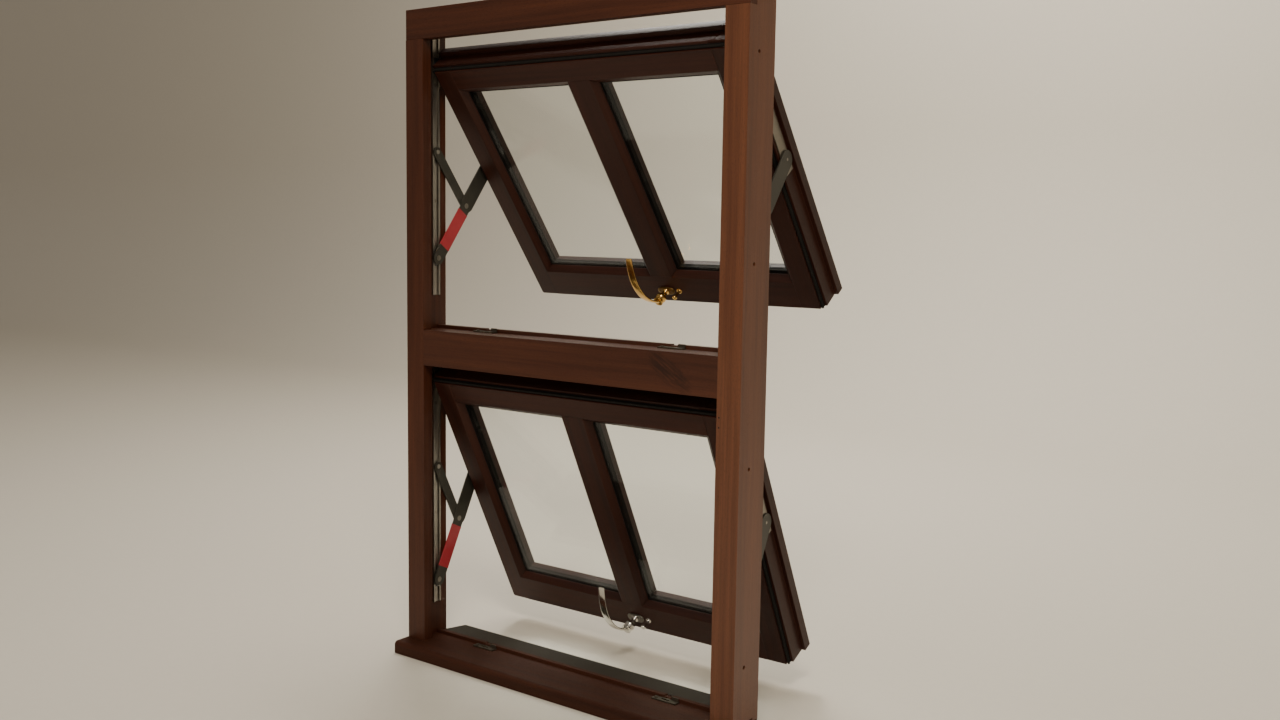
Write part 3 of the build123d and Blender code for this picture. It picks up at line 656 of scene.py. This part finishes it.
# %% Dress the frame and the sashes
FRAME_ARRIS = 0.0014
FRAME_TIMBER = {
    "jamb_right": "post",
    # The left post's darker timber is painted shade.
    "jamb_left": "left_post_painted_shade",
    "frame_head": "beam",
    "frame_sill": "sill",
    "frame_transom": "transom",
}
for node, kind in FRAME_TIMBER.items():
    arrised(node, timbers[kind], FRAME_ARRIS)
for name in LIGHTS:
    for part in ("stile_left", "stile_right", "glazing_bar"):
        arrised(name + "_" + part, timbers[name + "_stile"])
    for part in ("top_rail", "bottom_rail"):
        arrised(name + "_" + part, timbers[name + "_rail"])

# %% [markdown]
# ## Beads that hold the glass
# Four mitred beads lie round each opening on the outside. The grain follows each bead, so
# the upright pair takes the other timber. They could be cut apart at the mitres, but a
# second material on some faces shows the same. A face belongs to an upright bead where it
# lies nearer to a side of the set than to its top or foot.

# %% Beads with their grain turned at the mitres
BEAD_ARRIS = 0.0008


def past_edge(along):
    """How far each value lies past the outermost one: negative inside, nought at an end."""
    return np.abs(along - (along.min() + along.max()) / 2) - (along.max() - along.min()) / 2


for name in LIGHTS:
    for side in SIDES:
        bead = arrised(name + "_beads_" + side, timbers[name + "_rail"], BEAD_ARRIS)
        bead.data.materials.append(timbers[name + "_stile"])
        centres = np.empty(len(bead.data.polygons) * 3)
        bead.data.polygons.foreach_get("center", centres)
        across, _, down = to_sash(name, centres.reshape(-1, 3))
        upright = past_edge(across) > past_edge(down)
        bead.data.polygons.foreach_set("material_index", upright.astype(np.int32))
        bead.data.update()
print("upright faces on the last bead set:", int(upright.sum()), "of", len(upright))

# %% [markdown]
# ## Finishes on the metal and the glass
# The stays, plates and shoes get small rounded edges. The tracks and the panes already
# have their true shape, so they keep it and only take a finish.

# %% Round the metal parts and paint the rest
ROUNDED = {
    "arm_left": (stay_coat, 0.0006),
    "arm_right": (stay_coat, 0.0006),
    "links": (stay_coat, 0.0005),
    "sash_plates": (plate_steel, 0.0004),
    "top_shoes": (shoe_plastic, 0.0005),
    "bottom_shoes": (shoe_plastic, 0.0005),
    "keeps": (keep_steel, 0.0004),
}
PAINTED = {
    "track_left": track_metal,
    "track_right": track_metal,
    "glass_left": glass,
    "glass_right": glass,
    "lock_strip": plate_steel,
    "lock_rod": plate_steel,
}
arrised("drip_sill", drip_metal, 0.0009)
for name in LIGHTS:
    for part, (material, radius) in ROUNDED.items():
        arrised(name + "_" + part, material, radius)
    for part, material in PAINTED.items():
        nodes[name + "_" + part].data.materials.clear()
        nodes[name + "_" + part].data.materials.append(material)
print("solids that keep their shape:", len(PAINTED) * len(LIGHTS))

# %% [markdown]
# ## Spacers and gaskets round the glass
# Between the two sheets runs a black hollow bar, and a thin rubber lip lies on both faces
# of the unit. A bevelled curve would round the corners, so each is one small section
# carried to the four mitres of its opening. They stop a hair short of the glass, because
# two surfaces in one place would leave grey patches in it.

# %% Rings round the openings
OPENING_X, OPENING_V, HALF_WIDE, HALF_TALL = 187.75, 303.75, 145.75, 244.25
CORNERS = np.array([(1, 1), (1, -1), (-1, -1), (-1, 1)], float)[:, :, None]
BAR = [(-4.9, 19.05), (-5.5, 19.7), (-5.5, 24.2), (-5.1, 25.0), (-5.5, 25.8), (-5.5, 30.3),
       (-4.9, 30.95), (10.4, 30.95), (10.4, 19.05)]
ROOM_LIP = [(-1.9, 14.5), (-1.4, 14.94), (11.4, 14.94), (11.4, 14.02), (-1.2, 14.02)]
OUTER_LIP = [(-1.9, 35.5), (-1.2, 35.98), (11.4, 35.98), (11.4, 35.06), (-1.4, 35.06)]


def ring_round(name, light, side, section, material, node):
    """A section of (out, n) pairs carried round a rectangle: at each corner it stands off
    both edges by its out values, which makes the mitre."""
    out, n = np.asarray(section, float).T
    x = side * OPENING_X + CORNERS[:, 0] * (HALF_WIDE + out)
    v = OPENING_V + CORNERS[:, 1] * (HALF_TALL + out)
    points = on_sash(light, x, n[None, :], v)
    grid_piece(name, light + "_sash", points, material, 30, [node], loop=True)


RINGS = {
    "_spacer_bar_": (BAR, spacer_black, "_spacers"),
    "_room_gasket_": (ROOM_LIP, seal_rubber, "_gaskets"),
    "_outer_gasket_": (OUTER_LIP, seal_rubber, "_gaskets"),
}
for name in LIGHTS:
    for side, sign in SIDES.items():
        for ring, (section, material, node) in RINGS.items():
            ring_round(name + ring + side, name, sign, section, material, name + node)
print("rings round the glass:", len(LIGHTS) * len(SIDES) * len(RINGS))

# %% [markdown]
# ## The weather seal
# A soft hollow bulb on a flat foot runs up one side of the sash, along its top and down
# the other, and is cut at the corners on a mitre. A square strip would do from afar, but
# on an open sash the bulb shows. Its section is one closed line, and the seal is that
# line placed at four stations: both feet and both mitres.

# %% The bulb seal round each sash
SASH_HALF, SASH_HEIGHT = 393.0, 630.0
BULB, BULB_OUT, BULB_N = 2.95, 3.05, 5.6
arc = np.radians(np.linspace(58, -238, 26))
seal_out = np.concatenate([[0.3, 0.3, 5.7, 5.7, 4.2], BULB_OUT + BULB * np.cos(arc), [1.9]])
seal_n = np.concatenate([[11.0, 12.0, 12.0, 11.0, 10.6], BULB_N + BULB * np.sin(arc), [10.6]])
outer_x, foot_v = SASH_HALF + seal_out, np.full_like(seal_out, SASH_HEIGHT)
seal_x = np.stack([-outer_x, -outer_x, outer_x, outer_x])
seal_v = np.stack([foot_v, -seal_out, -seal_out, foot_v])
for name in LIGHTS:
    points = on_sash(name, seal_x, seal_n[None, :], seal_v)
    stands = [name + "_weather_seal"]
    grid_piece(name + "_bulb_seal", name + "_sash", points, seal_rubber, 40, stands)
print("seal section points:", len(seal_out))

# %% [markdown]
# ## Rivets and screws
# Small fasteners are turned shapes with a low dome. A Boolean could cut the slot of a
# screw, but it leaves slivers. So a polar grid gives the dome, and a slotted screw is the
# same grid with its height cut down inside a narrow band across the middle. One function
# places any of them by a centre and a direction.

# %% One function for all small round heads
HEAD_RINGS = np.concatenate([[0.01], np.linspace(0.06, 0.96, 12), [1.0, 1.0]])[:, None]
HEAD_STEPS = 40
HEAD_FOOT = -0.05  # the last ring sinks this far into what carries the head


def square_to(axis):
    """The axis at length one, and two directions square to it and to each other."""
    axis = np.asarray(axis, float) / np.linalg.norm(axis)
    helper = np.array([0.0, 0.0, 1.0]) if abs(axis[2]) < 0.8 else np.array([0.0, 1.0, 0.0])
    u = np.cross(helper, axis)
    u /= np.linalg.norm(u)
    return axis, u, np.cross(axis, u)


def round_head(name, body, centre, axis, radius, height, material, slot=(0.0, 0.0, 0.0)):
    """A domed disc in millimetres: at the share s of its radius it stands height * (1 -
    0.55 s^3). A slot is (width, depth, turn): the depth comes off where a point lies
    within half the width of the slot's line."""
    axis, u, w = square_to(axis)
    slot_width, slot_depth, turn = slot
    t = np.linspace(0, 2 * math.pi, HEAD_STEPS, endpoint=False)[None, :]
    a, b = radius * HEAD_RINGS * np.cos(t), radius * HEAD_RINGS * np.sin(t)
    beside = np.abs(-a * math.sin(turn) + b * math.cos(turn))
    cut = np.where(beside < slot_width / 2, slot_depth, 0.0)
    stand = height * (1 - 0.55 * HEAD_RINGS**3) - cut
    stand[-1] = HEAD_FOOT
    flat = np.asarray(centre, float) + a[..., None] * u + b[..., None] * w
    grid_piece(name, body, (flat + stand[..., None] * axis) / MM, material, 30)


print("a rivet head has", len(HEAD_RINGS) * HEAD_STEPS, "points")

# %% [markdown]
# ## Heads on the stays, the tracks and the keeps
# The stay joints are riveted almost flush, so that the arm can fold flat beside the sash.
# The tracks are held by countersunk screws in their channels, and each keep by one screw
# beside its slot.

# %% Rivets and screws in their places
ARM_FACE_X, TRACK_FLOOR_X = 407.0, 417.5
TRACK_SCREWS = (150, -110, -215)  # up or down from the fixed pivot
KEEP_X, KEEP_SCREW_IN, KEEP_SCREW_Y, KEEP_TOP = 254.0, 22.0, 4.5, 4.2
TRACK_SLOT, KEEP_SLOT = (0.9, 0.28, 0.7), (1.0, 0.8, 0.4)
RIVET, TRACK_HEAD, KEEP_HEAD = (6.2, 0.34), (4.0, 0.3), (4.1, 0.9)  # radius and height
for name, light in LIGHTS.items():
    arm_way = np.array([math.sin(light["angle"]), math.cos(light["angle"])])
    foot = np.array([TRACK_Y, light["foot_z"]])
    joints = {"middle": foot + LINK * arm_way, "foot": foot, "end": foot + ARM * arm_way}
    for side, sign in SIDES.items():
        for part, (y, z) in joints.items():
            spot = (sign * ARM_FACE_X, y, z)
            rivet = name + "_rivet_" + part + "_" + side
            round_head(rivet, name + "_arms", spot, (-sign, 0, 0), *RIVET, plate_steel)
        for step, rise in enumerate(TRACK_SCREWS):
            spot = (sign * TRACK_FLOOR_X, TRACK_Y, light["pivot_z"] + rise)
            screw = name + "_track_screw_%d_" % step + side
            round_head(screw, "frame", spot, (-sign, 0, 0), *TRACK_HEAD, plate_steel, TRACK_SLOT)
    for side, sign in SIDES.items():
        spot = (sign * KEEP_X - KEEP_SCREW_IN, KEEP_SCREW_Y, light["floor_z"] + KEEP_TOP)
        screw = name + "_keep_screw_" + side
        round_head(screw, "frame", spot, (0, 0, 1), *KEEP_HEAD, keep_steel, KEEP_SLOT)
heads = [o.name for o in bpy.data.objects if "rivet" in o.name or "screw" in o.name]
print("rivets and screws:", len(heads))

# %% [markdown]
# ## Sleeves on the arms
# A red plastic sleeve is pushed over the lower part of each wide arm. A bevelled box
# would keep one width, while a moulded sleeve swells a little into a rim at its ends. So
# it is a flat squared oval whose size changes along the arm.

# %% Sleeves as squared ovals along the arm
SLEEVE_X, SLEEVE_THICK, SLEEVE_WIDE = 408.5, 3.4, 33.0
along_arm = np.array([30.0, 30.5, 31.6, 34.0, 36.0, 81.0, 126.0, 128.0, 130.4, 131.5, 132.0])
swell = np.array([0.955, 0.99, 1.0, 1.0, 0.975, 0.97, 0.975, 1.0, 1.0, 0.99, 0.955])
along_arm, swell = along_arm[:, None], swell[:, None]


def oval(width, thickness, steps, power):
    """A squared oval: cosine and sine drawn toward a rectangle by a power."""
    t = np.linspace(0, 2 * math.pi, steps, endpoint=False)
    c, s = np.cos(t), np.sin(t)
    x = np.sign(c) * np.abs(c) ** (2 / power) * width / 2
    y = np.sign(s) * np.abs(s) ** (2 / power) * thickness / 2
    return x[None, :], y[None, :]


flat_x, flat_w = oval(SLEEVE_THICK, SLEEVE_WIDE, 48, 7.0)
for name, light in LIGHTS.items():
    a = light["angle"]
    y = TRACK_Y + along_arm * math.sin(a) + swell * flat_w * math.cos(a)
    z = light["foot_z"] + along_arm * math.cos(a) - swell * flat_w * math.sin(a)
    for side, sign in SIDES.items():
        x = sign * SLEEVE_X + flat_x * np.minimum(1.0, swell + 0.03)
        points = np.stack([x, y, z], axis=-1) / MM
        stands = [name + "_arm_sleeves"]
        grid_piece(name + "_sleeve_" + side, name + "_arms", points, sleeve_red, 40, stands)
print("sleeve length:", float(along_arm[-1, 0] - along_arm[0, 0]), "mm")

# %% [markdown]
# ## Turned shapes and swept straps
# The handle is a casting: a turned neck and ball, and a flat strap that leaves it in a
# long curl. A Screw modifier and a bevelled curve could make them, but the strap changes
# its width and thickness on the way, which is plainer as arrays. A turned shape is a
# radius for each step along an axis. A strap is an oval carried along a smooth curve.

# %% Surfaces of turning and smooth curves


def turned(name, light, body, radii, depths, centre, material, stands_for=(), steps=56):
    """A surface of turning about the outward direction of the sash: the point at step i
    and angle t lies at centre + radius[i] * (cos t, sin t), depth[i] outward."""
    radii, depths = np.asarray(radii, float)[:, None], np.asarray(depths, float)[:, None]
    t = np.linspace(0, 2 * math.pi, steps, endpoint=False)[None, :]
    x = centre[0] + radii * np.cos(t)
    v = centre[1] + radii * np.sin(t)
    grid_piece(name, body, on_sash(light, x, depths, v), material, 35, stands_for)


def smooth_curve(points, count):
    """Catmull-Rom curve through the given points, read at evenly spaced steps."""
    p = np.asarray(points, float)
    p = np.vstack([2 * p[0] - p[1], p, 2 * p[-1] - p[-2]])
    s = np.linspace(0, len(p) - 3 - 1e-9, count)
    k = s.astype(int)
    t = (s - k)[:, None]
    a, b, c, d = p[k], p[k + 1], p[k + 2], p[k + 3]
    square, cube = 2 * a - 5 * b + 4 * c - d, 3 * b - a - 3 * c + d
    return 0.5 * ((2 * b) + (c - a) * t + square * t**2 + cube * t**3)


print("a straight run read halfway:", smooth_curve([(0, 0), (1, 2)], 3)[1].round(2))

# %% [markdown]
# ## The backplate
# An oval plate lies on the bottom rail under the handle, held by two slotted screws. A
# stretched cylinder would have narrower ends and a sharp rim, so it is a squared oval
# that draws in as it rises.

# %% The oval backplate and its screws
HANDLE_V = 600.0
PLATE_WIDE, PLATE_HIGH, PLATE_POWER = 46.0, 22.0, 2.5
SCREW_X, SCREW_N, SCREW_HEAD = 16.0, -3.9, (3.0, 1.0)
PLATE_SHARE = np.array([1.0, 1.0, 0.985, 0.95, 0.88, 0.6, 0.3, 0.02])[:, None]
PLATE_N = np.array([0.0, -2.2, -3.0, -3.5, -3.8, -3.95, -4.0, -4.0])[:, None]


def backplate(name, metal):
    """Each ring is the squared oval of the plate times its share, at its own depth n."""
    x, v = oval(PLATE_WIDE, PLATE_HIGH, 72, PLATE_POWER)
    points = on_sash(name, PLATE_SHARE * x, PLATE_N, HANDLE_V + PLATE_SHARE * v)
    grid_piece(name + "_backplate", name + "_sash", points, metal, 35, [name + "_handle_plate"])
    toward_room = on_sash(name, 0, -1, 0) - on_sash(name, 0, 0, 0)
    for side, sign in SIDES.items():
        spot = on_sash(name, sign * SCREW_X, SCREW_N, HANDLE_V) * MM
        screw, slot = name + "_plate_screw_" + side, (0.9, 0.8, sign * 0.6)
        round_head(screw, name + "_sash", spot, toward_room, *SCREW_HEAD, metal, slot)


print("backplate:", PLATE_WIDE, "by", PLATE_HIGH, "mm")

# %% [markdown]
# ## Neck, ball and stud
# A waisted neck rises from the plate into a ball, and a flat bright collar closes it on
# the room side. Beside it stands a small waisted stud for the lock. Stacked spheres and
# cylinders would show their joints, so each is one list of radii and one of depths; the
# ball's are a cosine and a sine.

# %% Outlines of the turned pieces
BALL, BALL_N, BALL_ARC, STUD_X = 13.0, -28.5, 1.12, 36.0
lap = BALL_ARC * np.linspace(-1.0, 1.0, 18)
neck_r = np.concatenate([
    [0.2, 8.6, 9.0, 8.7, 7.2, 6.2, 5.9],
    0.4 + (BALL - 0.4) * np.cos(lap),
    [8.6, 11.2, 11.8, 11.8, 11.2, 8.0, 0.2],
])
neck_n = np.concatenate([
    [-4.3, -4.3, -5.2, -6.6, -8.2, -10.2, -14.5],
    BALL_N - (BALL - 1.5) * np.sin(lap),
    [-39.2, -39.3, -39.9, -42.0, -42.6, -42.9, -43.0],
])
stud_r = [0.2, 6.6, 7.0, 6.4, 4.0, 3.3, 3.1, 3.3, 4.6, 5.6, 5.8, 5.2, 3.4, 0.2]
stud_n = [0.1, 0.1, -0.8, -1.9, -2.8, -4.5, -13.0, -19.0, -20.6, -21.8, -24.4, -25.9, -26.6, -26.7]
print("neck and stud stand out", -neck_n[-1], "and", -stud_n[-1], "mm")

# %% [markdown]
# ## The curled tail
# The tail stands well off the sash so that a hand can close round it. It leaves the ball
# toward the room and sweeps up to a blunt end, flat and growing wider on the way.

# %% The tail as an oval along a curve
TAIL = [(600, -41), (592, -52), (574, -69), (548, -83), (515, -89), (482, -85), (451, -75)]
TAIL_WIDE, TAIL_SWELL, TAIL_SPREAD = 13.0, 3.6, 2.2
TAIL_THICK, TAIL_THIN = 6.6, 2.8


def tail(name, metal):
    """A squared oval carried along a smooth curve of (v, n) points: its width swells by a
    sine and grows along the way, its thickness falls, and the last two rings close in."""
    line = smooth_curve(TAIL, 84)
    tangent = np.gradient(line, axis=0)
    tangent /= np.linalg.norm(tangent, axis=1)[:, None]
    normal = np.stack([-tangent[:, 1], tangent[:, 0]], axis=1)
    part = np.linspace(0, 1, len(line))
    width = TAIL_WIDE + TAIL_SWELL * np.sin(part * math.pi) ** 0.7 + TAIL_SPREAD * part
    thick = TAIL_THICK - TAIL_THIN * part
    width[-2:], thick[-2:] = width[-2:] * (0.99, 0.93), thick[-2:] * (0.92, 0.62)
    flat, deep = oval(1.0, 1.0, 32, 3.6)
    v = line[:, 0:1] + normal[:, 0:1] * thick[:, None] * deep
    n = line[:, 1:2] + normal[:, 1:2] * thick[:, None] * deep
    points = on_sash(name, width[:, None] * flat, n, v)
    grid_piece(name + "_tail", name + "_handle", points, metal, 35, [name + "_handle"])


print("the tail reaches", -min(n for _, n in TAIL), "mm into the room")

# %% [markdown]
# ## Both handles
# The upper handle is brass and the lower one bright chrome, both with their tails up. The
# same functions make both, so only the metal differs. The plates take a darker colour of
# each metal, which is painted shade under the tails, and a rougher finish, as they are
# duller than what hands keep polished.

# %% Put the handles together
NECK_PLACE, STUD_PLACE = (0.0, HANDLE_V), (STUD_X, HANDLE_V)
# The second metal of each handle is the darker plate metal, painted shade.
METALS = {"upper": (brass, brass_plate_painted_shade), "lower": (chrome, chrome_plate_painted_shade)}
for name, (metal, plate_metal_painted_shade) in METALS.items():
    body = name + "_handle"
    backplate(name, plate_metal_painted_shade)
    turned(name + "_neck", name, body, neck_r, neck_n, NECK_PLACE, metal, [name + "_handle"])
    turned(name + "_lock_stud", name, name + "_sash", stud_r, stud_n, STUD_PLACE, metal, steps=40)
    tail(name, metal)
print("handles:", {name: metal.name for name, (metal, _) in METALS.items()})

# %% [markdown]
# ## Small marks on the right post
# Two pin holes near the inner arris of the right post show as dark dots. A Boolean could
# drill them, but the depth of so small a hole can't be seen, so each is a shallow dark
# cap on the face, whose colour is painted shade inside the hole.

# %% Two pin holes
PIN_X, POST_FACE_Y, PIN_Z, PIN_CAP = 402.5, -46.0, (638.9, 619.6), (1.7, 0.12)
for step, z in enumerate(PIN_Z):
    spot = (PIN_X, POST_FACE_Y, z)
    round_head("post_pin_hole_%d" % step, "frame", spot, (0, -1, 0), *PIN_CAP, hole_painted_shade)
print("pin holes:", len(PIN_Z))

# %% [markdown]
# ## The floor of the picture
# A plain pale floor rises in a soft bend into a backdrop, so that no line runs behind the
# window, as the edge of a plane would. It is one sheet: flat rows, a quarter circle of
# rows, and upright rows.

# %% Floor and backdrop, in metres
FLOOR_NEAR, BEND_Y, BEND, BACKDROP_TOP, HALF_FLOOR = -16, 3.4, 1.6, 11, 26
turn = np.linspace(0.08, math.pi / 2, 18)
bend_y, bend_z = BEND_Y + BEND * np.sin(turn), BEND - BEND * np.cos(turn)
rows_y = np.concatenate([np.linspace(FLOOR_NEAR, BEND_Y, 24), bend_y, np.full(8, BEND_Y + BEND)])
rows_z = np.concatenate([np.zeros(24), bend_z, np.linspace(2.2, BACKDROP_TOP, 8)])
cols_x = np.linspace(-HALF_FLOOR, HALF_FLOOR, 20)
sweep = np.stack(np.broadcast_arrays(cols_x[None, :], rows_y[:, None], rows_z[:, None]), axis=-1)
index = np.arange(len(rows_y) * len(cols_x)).reshape(len(rows_y), len(cols_x))
quads = np.stack([index[:-1, :-1], index[:-1, 1:], index[1:, 1:], index[1:, :-1]], axis=-1)
floor_mesh = bpy.data.meshes.new("pale_floor")
floor_mesh.from_pydata(sweep.reshape(-1, 3).tolist(), [], quads.reshape(-1, 4).tolist())
floor = bpy.data.objects.new("pale_floor", floor_mesh)
floor_mesh.materials.append(finish("pale_floor", "floor", (0.7, 0.66, 0.58), 0.8, patch=0.02))
floor_mesh.shade_smooth()
bpy.context.scene.collection.objects.link(floor)
print("floor faces:", len(floor_mesh.polygons))

# %% [markdown]
# ## Light
# A picture of a room would be mirrored in the panes, so plain lamps light the window. A
# warm key stands high on the room side, so the sashes, which tip their faces to the
# floor, stay darker than the upright posts. A low fill in front reaches under the beams,
# one lamp lights the backdrop, and one behind the window draws its top edges.

# %% World and lamps
world = bpy.data.worlds.new("soft_room")
bpy.context.scene.world = world
world.use_nodes = True
background = world.node_tree.nodes["Background"]
background.inputs["Color"].default_value = (1.0, 0.9, 0.77, 1)
background.inputs["Strength"].default_value = 0.3


def soft_light(name, place, aim, size, power, colour):
    """A square area light at a place, turned towards the aim."""
    lamp = bpy.data.lights.new(name, "AREA")
    lamp.size = size
    lamp.energy = power
    lamp.color = colour
    holder = bpy.data.objects.new(name, lamp)
    bpy.context.scene.collection.objects.link(holder)
    holder.location = place
    holder.rotation_euler = (Vector(aim) - Vector(place)).to_track_quat("-Z", "Y").to_euler()


soft_light("key", (1.7, -2.1, 3.3), (0.2, 0, 0.9), 1.0, 82, (1.0, 0.89, 0.75))
soft_light("fill", (0.4, -3.0, 0.8), (0, 0, 0.9), 1.3, 11, (1.0, 0.91, 0.79))
soft_light("back", (-0.6, 2.4, 4.4), (-0.6, 5.0, 1.2), 3.0, 190, (1.0, 0.94, 0.84))
soft_light("rim", (-1.4, 1.2, 3.7), (0.2, 0.0, 1.3), 0.8, 48, (1.0, 0.95, 0.88))
print("lamps:", [lamp.name for lamp in bpy.data.lights])

# %% [markdown]
# ## The camera
# It stands to the right of the window, a little above its middle, and looks slightly down
# and to the left. A constraint could aim it at a point, but would leave out the slight
# roll. So three angles give its directions: a turn about the upright, a tip toward the
# floor, and the roll about its own line of sight.

# %% Place and lens of the camera
CAMERA_PLACE, LENS = (1.6546, -1.9955, 0.9993), 34.69
yaw, pitch, roll = math.radians(36.449), math.radians(6.234), math.radians(0.885)
level = math.cos(pitch)
ahead = Vector((-math.sin(yaw) * level, math.cos(yaw) * level, -math.sin(pitch)))
across = Vector((math.cos(yaw), math.sin(yaw), 0))
above = across.cross(ahead)
right = across * math.cos(roll) + above * math.sin(roll)
up = above * math.cos(roll) - across * math.sin(roll)
camera = bpy.data.objects.new("camera", bpy.data.cameras.new("camera"))
camera.data.sensor_width = 36.0
camera.data.lens = LENS
facing = Matrix((right, up, -ahead)).transposed().to_4x4()
camera.matrix_world = Matrix.Translation(CAMERA_PLACE) @ facing
bpy.context.scene.collection.objects.link(camera)
bpy.context.scene.camera = camera
print("camera lens:", round(camera.data.lens, 2), "mm")
